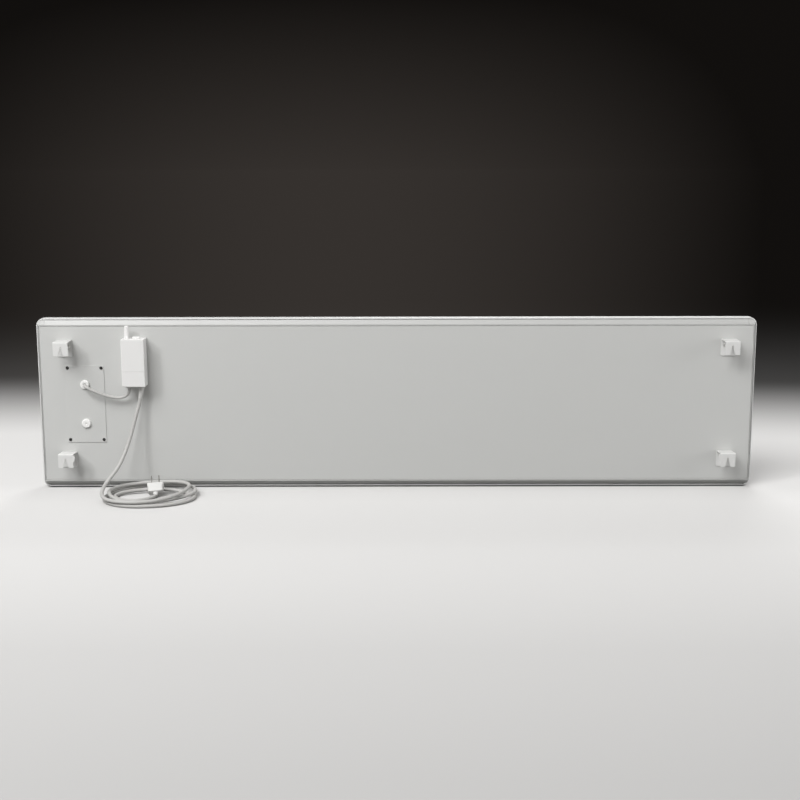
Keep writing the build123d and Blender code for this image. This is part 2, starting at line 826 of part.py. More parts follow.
x_gland = x_receiver + gland_offset
x_relief = x_receiver + relief_offset
y_gland = y_plate - gland_rear
with BuildPart() as terminal_cover:
    add(cover_shell(z_receiver, z_split - seam / 2, False))
    with BuildSketch(Plane.XY.offset(z_receiver)):
        with Locations((x_gland, y_gland), (x_relief, y_gland)):
            Circle(gland_neck / 2 + fit / 2)
    extrude(amount=2 * receiver_wall, mode=Mode.SUBTRACT)
keep(terminal_cover, "terminal_cover")

# --- Receiver electronics --------------------------------------------------------------------------------
board_width, board_height, board_sheet = circuit_board
y_parts = y_circuit - board_sheet
with BuildPart() as receiver_board:
    with BuildSketch(rear_plane(y_circuit)):
        with Locations((x_receiver, z_receiver_middle)):
            Rectangle(board_width, board_height)
        with Locations(boss_spots):
            Circle(shank / 2 + rivet_clearance, mode=Mode.SUBTRACT)
    extrude(amount=board_sheet)
keep(receiver_board, "receiver_board")

with BuildPart() as board_screws:
    with BuildSketch(rear_plane(y_parts)):
        with Locations(boss_spots):
            Circle(head / 2)
    extrude(amount=head_height)
    with BuildSketch(rear_plane(y_parts)):
        with Locations(boss_spots):
            Circle(shank / 2 - fit / 2)
    extrude(amount=-board_sheet - boss_height)
keep(board_screws, "board_screws")


def component(x, z, size, label):
    """A moulded component standing on the circuit board."""
    with BuildPart() as block:
        with BuildSketch(rear_plane(y_parts)):
            with Locations((x, z)):
                Rectangle(size[0], size[1])
        extrude(amount=size[2])
        chamfer(block.faces().sort_by(Axis.Y)[0].edges(), 0.5)
    keep(block, label)


z_circuit_low = z_receiver_middle - board_height / 2
component(x_receiver, z_circuit_low + 9 + terminals_size[1] / 2, terminals_size, "receiver_terminals")
component(x_receiver + 6.5, z_circuit_low + 33, relay_size, "relay")
component(x_receiver - 1, z_circuit_low + 57, power_size, "power_module")

switch_width, switch_height, switch_depth = switch_size
z_wall_under = z_receiver_top - receiver_wall
z_button_foot = z_wall_under - button_lip - button_travel
z_switch_top = z_button_foot - plunger_length + button_travel
with BuildPart() as tact_switch:
    with BuildSketch(rear_plane(y_parts)):
        with Locations((x_button, z_switch_top - switch_height / 2)):
            Rectangle(switch_width, switch_height)
    extrude(amount=switch_depth)
    with BuildSketch(Plane.XY.offset(z_switch_top)):
        with Locations((x_button, y_button)):
            Circle(plunger_diameter / 2 + running_gap)
    extrude(amount=-plunger_length - fit, mode=Mode.SUBTRACT)
keep(tact_switch, "tact_switch")

with BuildPart() as tact_plunger:
    with BuildSketch(Plane.XY.offset(z_button_foot - plunger_length)):
        with Locations((x_button, y_button)):
            Circle(plunger_diameter / 2)
    extrude(amount=plunger_length)
keep(tact_plunger, "tact_plunger")

# --- Push button on top of the box ----------------------------------------------------------------------------
with BuildPart() as push_button:
    with BuildSketch(Plane.XY.offset(z_button_foot)):
        with Locations((x_button, y_button)):
            RectangleRounded(*button_size, 0.8)
    extrude(amount=z_receiver_top + button_proud - z_button_foot)
    fillet(push_button.faces().sort_by(Axis.Z)[-1].edges(), 0.6)
    with BuildSketch(Plane.XY.offset(z_wall_under - fit - button_lip)):
        with Locations((x_button, y_button)):
            Rectangle(button_size[0] + 2, button_size[1] + 2)
    extrude(amount=button_lip)
keep(push_button, "push_button")

# --- Antenna stub: tapered, with a collar on the box and a foot inside ---------------------------------------------
collar_diameter, collar_height = antenna_collar
nut_diameter, nut_height = antenna_nut
with BuildPart() as antenna:
    with BuildSketch(Plane.XY.offset(z_receiver_top)):
        with Locations((x_antenna, y_antenna)):
            Circle(collar_diameter / 2)
    extrude(amount=collar_height)
    with BuildSketch(Plane.XY.offset(z_receiver_top)):
        with Locations((x_antenna, y_antenna)):
            Circle(antenna_base / 2)
    with BuildSketch(Plane.XY.offset(z_receiver_top + antenna_length)):
        with Locations((x_antenna, y_antenna)):
            Circle(antenna_tip / 2)
    loft()
    fillet(antenna.faces().sort_by(Axis.Z)[-1].edges(), antenna_tip / 4)
    with BuildSketch(Plane.XY.offset(z_wall_under - nut_height)):
        with Locations((x_antenna, y_antenna)):
            Circle(antenna_spigot / 2)
    extrude(amount=receiver_wall + nut_height)
    with BuildSketch(Plane.XY.offset(z_wall_under - nut_height)):
        with Locations((x_antenna, y_antenna)):
            Circle(nut_diameter / 2)
    extrude(amount=nut_height)
keep(antenna, "antenna")

# --- Gland of the link cable and strain relief of the mains cord -----------------------------------------------------
with BuildPart() as link_gland:
    with BuildSketch(Plane.XY.offset(z_receiver)):
        with Locations((x_gland, y_gland)):
            Circle(gland_diameter / 2)
    extrude(amount=-gland_length)
    fillet(link_gland.faces().sort_by(Axis.Z)[0].edges(), gland_length / 4)
    with BuildSketch(Plane.XY.offset(z_receiver)):
        with Locations((x_gland, y_gland)):
            Circle(gland_neck / 2)
    extrude(amount=receiver_wall + inner_flange)
    with BuildSketch(Plane.XY.offset(z_receiver + receiver_wall)):
        with Locations((x_gland, y_gland)):
            Circle(gland_diameter / 2)
    extrude(amount=inner_flange)
keep(link_gland, "link_gland")

lean = math.radians(relief_lean)
relief_axis = Vector(-math.sin(lean), 0, -math.cos(lean))
relief_top = Vector(x_relief, y_gland, z_receiver)


def relief_plane(distance):
    """A plane square to the leaning strain relief, this far down its axis."""
    return Plane(origin=relief_top + relief_axis * distance, x_dir=(0, 1, 0), z_dir=relief_axis)


with BuildPart() as strain_relief:
    with BuildSketch(relief_plane(-gland_length / 2)):
        Circle(relief_root / 2)
    with BuildSketch(relief_plane(relief_length)):
        Circle(relief_tip / 2)
    loft()
    ring_pitch = relief_length / (relief_rings + 1)
    for ring in range(1, relief_rings + 1):
        depth = ring * ring_pitch
        radius = (relief_root + (relief_tip - relief_root) * depth / relief_length) / 2
        with BuildSketch(relief_plane(depth)):
            Circle(relief_root)
            Circle(radius - relief_ring_depth, mode=Mode.SUBTRACT)
        extrude(amount=ring_pitch / 3, mode=Mode.SUBTRACT)
    split(bisect_by=Plane.XY.offset(z_receiver), keep=Keep.BOTTOM)
    with BuildSketch(Plane.XY.offset(z_receiver)):
        with Locations((x_relief, y_gland)):
            Circle(gland_neck / 2)
    extrude(amount=receiver_wall + inner_flange)
    with BuildSketch(Plane.XY.offset(z_receiver + receiver_wall)):
        with Locations((x_relief, y_gland)):
            Circle(relief_root / 2)
    extrude(amount=inner_flange)
keep(strain_relief, "strain_relief")

# --- Link cable: from the terminal tray, out of the grommet, round into the box -------------------------------------------
link_length = tube(
    [
        (x_access, y_plate_in + 2, z_grommet),
        behind(x_access, 8, z_grommet),
        behind(x_access + 5, 12.5, z_grommet - 3),
        behind(x_access + 17, 13.5, z_grommet - 9.5),
        behind(x_access + 36, 11.5, z_grommet - 17.5),
        behind(x_access + 56, 10.5, z_grommet - 22.5),
        behind(x_access + 71, 12, z_grommet - 20.5),
        behind(x_gland, gland_rear, z_receiver - gland_length - 7),
        behind(x_gland, gland_rear, z_receiver - gland_length),
    ],
    link_diameter,
    "link_cable",
)

# --- Inner cores: three in the tray, three more in the receiver -------------------------------------------------------------
with BuildPart() as link_cores:
    for way in (-1, 0, 1):
        with BuildLine() as core_route:
            x_start = x_access + way * core_diameter * 0.8
            x_way = x_tray + way * block_width / 3
            points = [
                (x_start, y_plate_in + 2, z_grommet),
                (x_start, y_ways, z_grommet),
                (x_way, y_ways, z_grommet - block_height),
                (x_way, y_ways, z_block + block_height / 2 - way_depth),
            ]
            FilletPolyline(*points, radius=bend_radii(points))
        core_wire = core_route.wire()
        with BuildSketch(Plane(origin=core_wire @ 0, z_dir=core_wire % 0)):
            Circle(core_diameter / 2)
        sweep()
keep(link_cores, "link_cores")

z_terminals = z_circuit_low + 9
with BuildPart() as receiver_cores:
    for x_start in (x_gland, x_relief):
        for way in (-1, 1):
            with BuildSketch(Plane.XY.offset(z_receiver + receiver_wall + inner_flange)):
                with Locations((x_start + way * core_diameter * 0.7, y_gland)):
                    Circle(core_diameter / 2)
            extrude(amount=z_terminals - z_receiver - receiver_wall - inner_flange)
keep(receiver_cores, "receiver_cores")


# --- Mains cord: the drop, the loose coil on the floor and the tail into the plug ----------------------------------------------
def layer(n):
    """Height of a cord's centre: 0 on the floor, 1 on top of another cord."""
    return mains_diameter / 2 + floor_gap + n * (mains_diameter + turn_gap)


landing_slope = 15
quarter_headings = [(0, -1, 0), (1, 0, 0), (0, 1, 0), (-1, 0, 0)]
# One turn a row: left, front, right and rear node as (x, distance behind the plate, layer).
coil_turns = [
    [(-501, 98, 1.65), (-434, 144.5, 1.0), (-357, 64, 1.9), (-400, 15, 1.5)],
    [(-495, 66, 1.05), (-441, 120, 0), (-346, 70, 1.0), (-400, 6.5, 0.5)],
    [(-500, 84, 0), (-432, 144, 0), (-344.8, 84, 0), (-414, 42, 0.53)],
    [(-483, 73, 0.1), (-455, 105, 0)],
]
coil_nodes = [behind(x, rear, layer(n)) for turn in coil_turns for x, rear, n in turn]
headings = [Vector(*quarter_headings[i % 4]) for i in range(len(coil_nodes))]
slope = math.radians(landing_slope)
headings[0] = Vector(0, -math.cos(slope), -math.sin(slope))


def biarc(start, start_heading, end, end_heading):
    """Joint and joint heading of two tangent arcs with equal tangent lengths."""
    span = end - start
    both = start_heading + end_heading
    k = 2 - 2 * start_heading.dot(end_heading)
    tangent = (math.sqrt(span.dot(both) ** 2 + k * span.dot(span)) - span.dot(both)) / k
    first = start + start_heading * tangent
    second = end - end_heading * tangent
    return (first + second) * 0.5, (second - first).normalized()


coil_points = [Vector(*node) for node in coil_nodes]
coil_start = coil_points[0] - headings[0] * mains_diameter
coil_end = coil_points[-1] + headings[-1] * mains_diameter
with BuildPart() as mains_coil:
    with BuildLine() as coil_route:
        Line(coil_start, coil_points[0])
        for i in range(len(coil_points) - 1):
            joint, joint_heading = biarc(
                coil_points[i], headings[i], coil_points[i + 1], headings[i + 1]
            )
            TangentArc(coil_points[i], joint, tangent=headings[i])
            TangentArc(joint, coil_points[i + 1], tangent=joint_heading)
        Line(coil_points[-1], coil_end)
    with BuildSketch(Plane(origin=coil_start, z_dir=headings[0])):
        Circle(mains_diameter / 2)
    sweep()
keep(mains_coil, "mains_coil")

coil_wire = coil_route.wire()
coil_length = coil_wire.length
samples = 1200
spots = [coil_wire.position_at(i / samples) for i in range(samples + 1)]
spots = [(spot.X, spot.Y, spot.Z) for spot in spots]
apart = int(40 / coil_length * samples)
least = min(
    math.dist(spots[i], spots[j]) for i in range(0, samples + 1) for j in range(i + apart, samples + 1)
)
coil_volume = math.pi * mains_diameter**2 / 4 * coil_length
print(
    f"mains_coil: {coil_length:.0f} mm, least gap to itself {least - mains_diameter:.2f} mm, "
    f"volume {mains_coil.part.volume / coil_volume:.4f} of section x length"
)

landing_run = 20
landing = coil_start - headings[0] * landing_run
relief_end = relief_top + relief_axis * relief_length
first_bend = relief_end + relief_axis * relief_length / 2
drop_length = tube(
    [
        (relief_end.X, relief_end.Y, relief_end.Z),
        (first_bend.X, first_bend.Y, first_bend.Z),
        behind(-451.8, 16.5, 138),
        behind(-457.2, 21, 117),
        behind(-463, 27, 95),
        behind(-470.6, 36, 71),
        behind(-480, 49, 49),
        behind(-491.6, 59.5, 34),
        (landing.X, landing.Y, landing.Z),
        (coil_start.X, coil_start.Y, coil_start.Z),
    ],
    mains_diameter,
    "mains_cord",
)

tilt, yaw, roll = (math.radians(angle) for angle in (plug_tilt, plug_yaw, plug_roll))
plug_axis = Vector(-math.cos(tilt) * math.sin(yaw), math.cos(tilt) * math.cos(yaw), math.sin(tilt))
level_side = Vector(math.cos(yaw), math.sin(yaw), 0)
plug_side = level_side * math.cos(roll) + level_side.cross(plug_axis) * math.sin(roll)
plug_back = Vector(*behind(-414, 71, 8.0))
tail_turn = plug_back - plug_axis * mains_diameter
tail_length = tube(
    [
        (coil_end.X, coil_end.Y, coil_end.Z),
        behind(-438, 105, layer(0)),
        behind(-426, 97, layer(0)),
        behind(-418, 87, layer(0)),
        (tail_turn.X, tail_turn.Y, tail_turn.Z),
        (plug_back.X, plug_back.Y, plug_back.Z),
    ],
    mains_diameter,
    "plug_tail",
)
print(f"mains cord end to end: {drop_length + coil_length + tail_length:.0f} mm")

# --- Plug with two flat blades ---------------------------------------------------------------------------------------------------
plug_plane = Plane(origin=plug_back, x_dir=plug_side, z_dir=plug_axis)
with BuildPart() as plug_body:
    with BuildSketch(plug_plane):
        RectangleRounded(*plug_rear, plug_round)
    with BuildSketch(plug_plane.offset(plug_length)):
        RectangleRounded(*plug_front, plug_round)
    loft()
    fillet(plug_body.faces().filter_by(GeomType.PLANE).group_by(SortBy.AREA)[-1].edges(), plug_edge)
keep(plug_body, "plug_body")

with BuildPart() as plug_blades:
    with BuildSketch(plug_plane.offset(plug_length)):
        with GridLocations(blade_pitch, 0, 2, 1):
            Rectangle(*blade_size)
    extrude(amount=blade_length)
    with BuildSketch(Plane(origin=plug_back, x_dir=plug_axis, z_dir=plug_side)):
        with Locations((plug_length + blade_length - blade_hole_from_tip, 0)):
            Circle(blade_hole / 2)
    extrude(amount=blade_pitch, both=True, mode=Mode.SUBTRACT)
keep(plug_blades, "plug_blades")
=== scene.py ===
# %% [markdown]
# # An infrared panel heater, seen from behind
#
# The real object is a shallow white steel tray, 1.25 m long, that stands on its
# lower edge. Behind it are a coated back plate in a ring of formed rails, four
# bent wall hooks, a small access plate with two grommets, and a receiver box
# whose mains cord lies in a loose coil on the floor.
#
# The solid model gives every rigid form in its right size and place. This lesson
# lays the cords, gives each surface its finish, and adds the small forms that a
# solid model leaves out: screw heads, rivets, ribs, rounded sheet edges, a plug.

# %% Load the solid model as the frame
import json
import math

import bmesh
import bpy
from mathutils import Matrix, Vector


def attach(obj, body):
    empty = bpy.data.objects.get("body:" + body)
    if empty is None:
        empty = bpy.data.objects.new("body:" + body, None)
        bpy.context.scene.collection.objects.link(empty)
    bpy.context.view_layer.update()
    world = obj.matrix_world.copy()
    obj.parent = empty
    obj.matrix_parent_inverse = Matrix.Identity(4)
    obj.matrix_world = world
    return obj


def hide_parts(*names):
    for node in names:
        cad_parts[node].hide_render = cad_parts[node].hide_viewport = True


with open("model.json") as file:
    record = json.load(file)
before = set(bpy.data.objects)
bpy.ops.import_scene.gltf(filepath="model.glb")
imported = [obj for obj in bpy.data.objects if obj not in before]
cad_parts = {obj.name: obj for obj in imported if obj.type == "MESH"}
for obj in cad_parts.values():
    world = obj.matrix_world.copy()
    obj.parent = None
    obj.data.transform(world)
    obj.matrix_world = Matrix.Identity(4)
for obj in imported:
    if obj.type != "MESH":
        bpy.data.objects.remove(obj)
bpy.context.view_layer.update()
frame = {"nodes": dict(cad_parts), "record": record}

MM = 0.001
nodes = frame["nodes"]

# %% [markdown]
# ## The camera
#
# A photograph fixes four things: how long the lens is, where it stands, how far
# it looks down, and how much it leans. They could be found by trying. Here they
# were worked out from the four corners of the panel, whose true size is known,
# so the lens stands almost straight behind the panel, a little above it.

# %% Helper: a new object in the scene
def add_object(name, data):
    made = bpy.data.objects.new(name, data)
    bpy.context.scene.collection.objects.link(made)
    return made


# %% Camera
LENS_FOCUS_PX = 1350.2
FRAME_PX = 800
SENSOR_MM = 36.0
CAMERA_PLACE = (0.0058, -2.3135, 0.5961)
CAMERA_DOWN = math.radians(10.746)
CAMERA_LEAN = math.radians(-0.097)


def look_straight_on():
    """A camera behind the panel that looks along +Y and a little down."""
    camera = add_object("camera", bpy.data.cameras.new("camera"))
    camera.data.sensor_width = SENSOR_MM
    camera.data.lens = LENS_FOCUS_PX * SENSOR_MM / FRAME_PX
    tilt = Matrix.Rotation(math.pi / 2 - CAMERA_DOWN, 4, "X")
    lean = Matrix.Rotation(CAMERA_LEAN, 4, "Z")
    camera.matrix_world = Matrix.Translation(CAMERA_PLACE) @ tilt @ lean
    bpy.context.scene.camera = camera
    return camera


camera = look_straight_on()
print("lens", round(camera.data.lens, 2), "mm")

# %% [markdown]
# ## A smooth line for a cord
#
# A cord bends under its own weight and has no corners, so its line is a NURBS
# spline: the points pull the line towards them without making it pass through
# each one. Order 3 keeps it close to its points, and it starts and ends exactly
# at the first and last one. Both settings come after the points are added.
# The tube itself is the curve's own round bevel.

# %% Helper: one open spline with a round bevel
def cord_curve(name, points_mm, diameter):
    """A curve object through control points given in millimetres."""
    curve = bpy.data.curves.new(name, "CURVE")
    curve.dimensions = "3D"
    spline = curve.splines.new("NURBS")
    spline.points.add(len(points_mm) - 1)
    for point, place in zip(spline.points, points_mm):
        point.co = (*(MM * value for value in place), 1.0)
    spline.order_u = 3
    spline.use_endpoint_u = True
    spline.resolution_u = 5
    curve.bevel_depth = diameter / 2
    curve.bevel_resolution = 5
    curve.use_fill_caps = True
    return add_object(name, curve)


def centre_line(cord):
    """The points of a cord's own line, read with its bevel taken off."""
    plain = cord.copy()
    plain.data = cord.data.copy()
    plain.data.bevel_depth = 0.0
    mesh = bpy.data.meshes.new_from_object(plain)
    line = [vertex.co.copy() for vertex in mesh.vertices]
    bpy.data.meshes.remove(mesh)
    bpy.data.objects.remove(plain)
    return line


def line_length(line):
    return sum((b - a).length for a, b in zip(line, line[1:]))


# %% [markdown]
# ## The mains cord
#
# The cord leaves the strain relief, drops down the back of the plate and swings
# out to the floor. There it lies in three turns and a bit, the way a cord falls
# when it is dropped from the hand: no two turns have the same size, and each
# crosses the one before it low down. The photograph shows the whole cord, so its
# length is the real length.
#
# The drop is a handful of points, given one by one. The coil follows a rule, so a
# loop makes it: each quarter turn is a Bezier arc between two resting points, whose
# handles follow the direction in which the cord runs there.

# %% Mains cord: the drop and the tail
CORD_D = 0.0064
RELIEF_EXIT = (-445.420, -7.5, 162.634)
DROP = [
    RELIEF_EXIT, (-447.330, -7.5, 151.801), (-451.8, -10.5, 138.0),
    (-457.2, -15.0, 117.0), (-463.0, -21.0, 95.0), (-470.6, -30.0, 71.0),
    (-480.0, -43.0, 49.0), (-491.6, -53.5, 34.0), (-501.0, -66.5, 21.683),
]
TAIL = [
    (-438.0, -99.0, 3.3), (-426.0, -91.0, 3.3), (-418.0, -81.0, 3.3),
    (-413.174, -69.684, 3.718), (-414.0, -65.0, 8.0),
]
print("drop points", len(DROP), "tail points", len(TAIL))

# %% Mains cord: resting points of the coil, a quarter turn apart
COIL_START = (-501.0, -85.818, 16.506)
COIL_RESTS = [
    (-501.0, -92.0, 14.85), (-434.0, -138.5, 10.3),
    (-357.0, -58.0, 16.6), (-400.0, -9.0, 13.8),
    (-495.0, -60.0, 10.65), (-441.0, -114.0, 3.3),
    (-346.0, -64.0, 10.3), (-400.0, -0.5, 6.8),
    (-500.0, -78.0, 3.3), (-432.0, -138.0, 3.3),
    (-344.8, -78.0, 3.3), (-414.0, -36.0, 7.01),
    (-483.0, -67.0, 4.0), (-455.0, -99.0, 3.3),
]
COIL_END = (-448.6, -99.0, 3.3)
LANDING_SLOPE = math.radians(15)
HEADINGS = [(0, -1, 0), (1, 0, 0), (0, 1, 0), (-1, 0, 0)]
STEPS_PER_QUARTER = 4


def quarter_turn(start, end, heading_in, heading_out):
    """Points of one quarter of the coil, its last one left out."""
    start, end = Vector(start), Vector(end)
    across = end - start
    # Where the two headings meet gives each handle's own length.
    flat_in = heading_in.xy.normalized()
    flat_out = heading_out.xy.normalized()
    det = flat_in.x * flat_out.y - flat_in.y * flat_out.x
    run_in = (across.x * flat_out.y - across.y * flat_out.x) / det
    run_out = (flat_in.x * across.y - flat_in.y * across.x) / det
    circle_like = 4 / 3 * (math.sqrt(2) - 1)
    handle_in = start + heading_in * run_in * circle_like
    handle_out = end - heading_out * run_out * circle_like
    points = []
    for step in range(STEPS_PER_QUARTER):
        t = step / STEPS_PER_QUARTER
        points.append(
            (1 - t) ** 3 * start + 3 * (1 - t) ** 2 * t * handle_in
            + 3 * (1 - t) * t * t * handle_out + t ** 3 * end
        )
    return points


def coil_points():
    slope_in = Vector((0, -math.cos(LANDING_SLOPE), -math.sin(LANDING_SLOPE)))
    headings = [slope_in] + [
        Vector(HEADINGS[turn % 4]) for turn in range(1, len(COIL_RESTS))
    ]
    points = [COIL_START]
    for turn in range(len(COIL_RESTS) - 1):
        points += quarter_turn(
            COIL_RESTS[turn], COIL_RESTS[turn + 1],
            headings[turn], headings[turn + 1],
        )
    return points + [COIL_RESTS[-1], COIL_END]


mains_cord = cord_curve("mains_lead", DROP + coil_points() + TAIL, CORD_D)
mains_line = centre_line(mains_cord)

# %% [markdown]
# ## The link cable
#
# A thinner cable leaves the upper grommet straight out of the plate, sags in a
# shallow bow, and rises into the gland under the receiver box. It is held at
# both ends, so it is one line from hole to hole.

# %% Link cable
LINK_D = 0.0052
LINK_ROUTE = [
    (-543.7, 9.0, 184.5), (-543.7, -2.0, 184.5), (-538.7, -6.5, 181.5),
    (-526.7, -7.5, 175.0), (-507.7, -5.5, 167.0), (-487.7, -4.5, 162.0),
    (-472.7, -6.0, 164.0), (-463.6, -7.5, 173.3), (-463.6, -7.5, 180.3),
]
link_cable = cord_curve("link_lead", LINK_ROUTE, LINK_D)
LINK_LENGTH = line_length(centre_line(link_cable))
print("link cable", round(LINK_LENGTH, 4), "m")

# %% [markdown]
# ## Floor and backdrop
#
# The photograph was taken on a pale sweep of paper: light in front, and falling
# off into a charcoal dark behind the object. A wall would do it, but it would
# also hide the object from the other side. So the floor is one flat sheet whose
# colour runs from pale to charcoal with its distance behind the panel, and
# the world shows the same charcoal to the camera.
#
# Two things on it are painted and not lit: how bright it is in front, and the
# dark line under the panel's edge. Both copy the picture, not the light, so they
# belong to this view, and a model shown elsewhere is better without them.

# %% Helpers for node trees
def new_material(name):
    """A material with an empty tree but for its shader and output."""
    material = bpy.data.materials.new(name)
    material.use_nodes = True
    tree = material.node_tree
    tree.nodes.clear()
    output = tree.nodes.new("ShaderNodeOutputMaterial")
    shader = tree.nodes.new("ShaderNodeBsdfPrincipled")
    tree.links.new(shader.outputs["BSDF"], output.inputs["Surface"])
    return material, tree, shader


def node(tree, kind, **values):
    """A node with its own settings. Its inputs are fed apart."""
    made = tree.nodes.new(kind)
    for key, value in values.items():
        setattr(made, key, value)
    return made


def feed(made, **values):
    """Puts plain values on a node's inputs; an underscore stands for a space."""
    for key, value in values.items():
        made.inputs[key.replace("_", " ")].default_value = value
    return made


def put(tree, value, socket):
    """Links a socket to an input, or sets the input to a plain value."""
    if isinstance(value, bpy.types.NodeSocket):
        tree.links.new(value, socket)
    else:
        socket.default_value = value


def ramp(tree, factor, stops):
    """A grey ramp of (place, level) stops, fed by one socket."""
    made = tree.nodes.new("ShaderNodeValToRGB")
    elements = made.color_ramp.elements
    while len(elements) < len(stops):
        elements.new(0.5)
    for element, (place, level) in zip(elements, stops):
        element.position = place
        element.color = (level, level, level, 1.0)
    tree.links.new(factor, made.inputs["Fac"])
    return made.outputs["Color"]


def blend_colours(tree, factor, first, second, mode="MIX"):
    """A Mix node for colours. Each argument is a socket or a plain value."""
    made = node(tree, "ShaderNodeMix", data_type="RGBA", blend_type=mode)
    put(tree, factor, made.inputs[0])
    for index, value in ((6, first), (7, second)):
        plain = isinstance(value, tuple)
        put(tree, (*value, 1.0) if plain else value, made.inputs[index])
    return made.outputs[2]


def maths(tree, operation, first, second=0.0, third=0.0, clamp=False):
    """A Math node. Each argument is a socket or a plain value."""
    made = node(tree, "ShaderNodeMath", operation=operation, use_clamp=clamp)
    for index, value in enumerate((first, second, third)):
        put(tree, value, made.inputs[index])
    return made.outputs[0]


def object_place(tree):
    """Object coordinates, which are the same in every view."""
    return tree.nodes.new("ShaderNodeTexCoord").outputs["Object"]


# %% The backdrop's tones
CHARCOAL = (0.0362, 0.0311, 0.0277)
DARKEST = 0.16
BRIGHT_SIDE, GLOW_WIDTH = -0.05, 0.41


def backdrop_glow(tree, aside, dimmer=None):
    """Charcoal that is lightest a little left of the middle, as a colour socket.

    aside is how far a point lies to the right, as a share of its distance.
    """
    # The bell is a painted pool of light on the charcoal, lightest a little left of the
    # middle.
    off = maths(tree, "SUBTRACT", aside, BRIGHT_SIDE)
    off = maths(tree, "DIVIDE", off, GLOW_WIDTH)
    bell = maths(tree, "MULTIPLY", off, off)
    bell = maths(tree, "SUBTRACT", 1.0, bell, clamp=True)
    bell = maths(tree, "MULTIPLY", bell, bell)
    if dimmer:
        bell = maths(tree, "MULTIPLY", bell, dimmer)
    level = maths(tree, "MAXIMUM", bell, DARKEST)
    grey = node(tree, "ShaderNodeCombineColor")
    for channel, tint in zip(("Red", "Green", "Blue"), CHARCOAL):
        tree.links.new(maths(tree, "MULTIPLY", level, tint), grey.inputs[channel])
    return grey.outputs[0]


def seen_directly(tree):
    """1 for what the camera, gloss and glass see, and 0 for the light that bounces."""
    rays = tree.nodes.new("ShaderNodeLightPath")
    seen = maths(
        tree, "MAXIMUM", rays.outputs["Is Camera Ray"], rays.outputs["Is Glossy Ray"]
    )
    return maths(tree, "MAXIMUM", seen, rays.outputs["Is Transmission Ray"])


# %% Floor
FLOOR_REACH = 30.0
PAPER = (1.0, 0.990, 0.978)
# Painted brightness of the paper, by metres in front of the panel's middle.
PAPER_LEVELS = [(0.0, 0.645), (0.10, 0.685), (0.375, 0.650), (0.78, 0.502),
                (1.12, 0.435), (1.6, 0.39)]
PAPER_REACH = 1.6
PAPER_BOUNCE = (0.24, 0.237, 0.233)
FADE_TURN = 0.10
CONTACT_NEAR, CONTACT_FAR, CONTACT_SOFT = 0.007, 0.026, 0.004
CONTACT_HALF, CONTACT_END, CONTACT_LEVEL = 0.611, 0.01, 0.10
FADE_START, FADE_END = 0.30, 1.20
TAIL_START, TAIL_END, TAIL_LEVEL = 0.9, 3.1, 0.08
FAR_FRONT, FAR_SIDE, FAR_SOFT = -4.0, 4.0, 2.5


def smooth_fall(tree, value, start, end, kind="SMOOTHSTEP"):
    """1 up to start and 0 past end, with an easy slope between them."""
    made = node(tree, "ShaderNodeMapRange", clamp=True, interpolation_type=kind)
    feed(made, From_Min=start, From_Max=end, To_Min=1.0, To_Max=0.0)
    tree.links.new(value, made.inputs["Value"])
    return made.outputs[0]


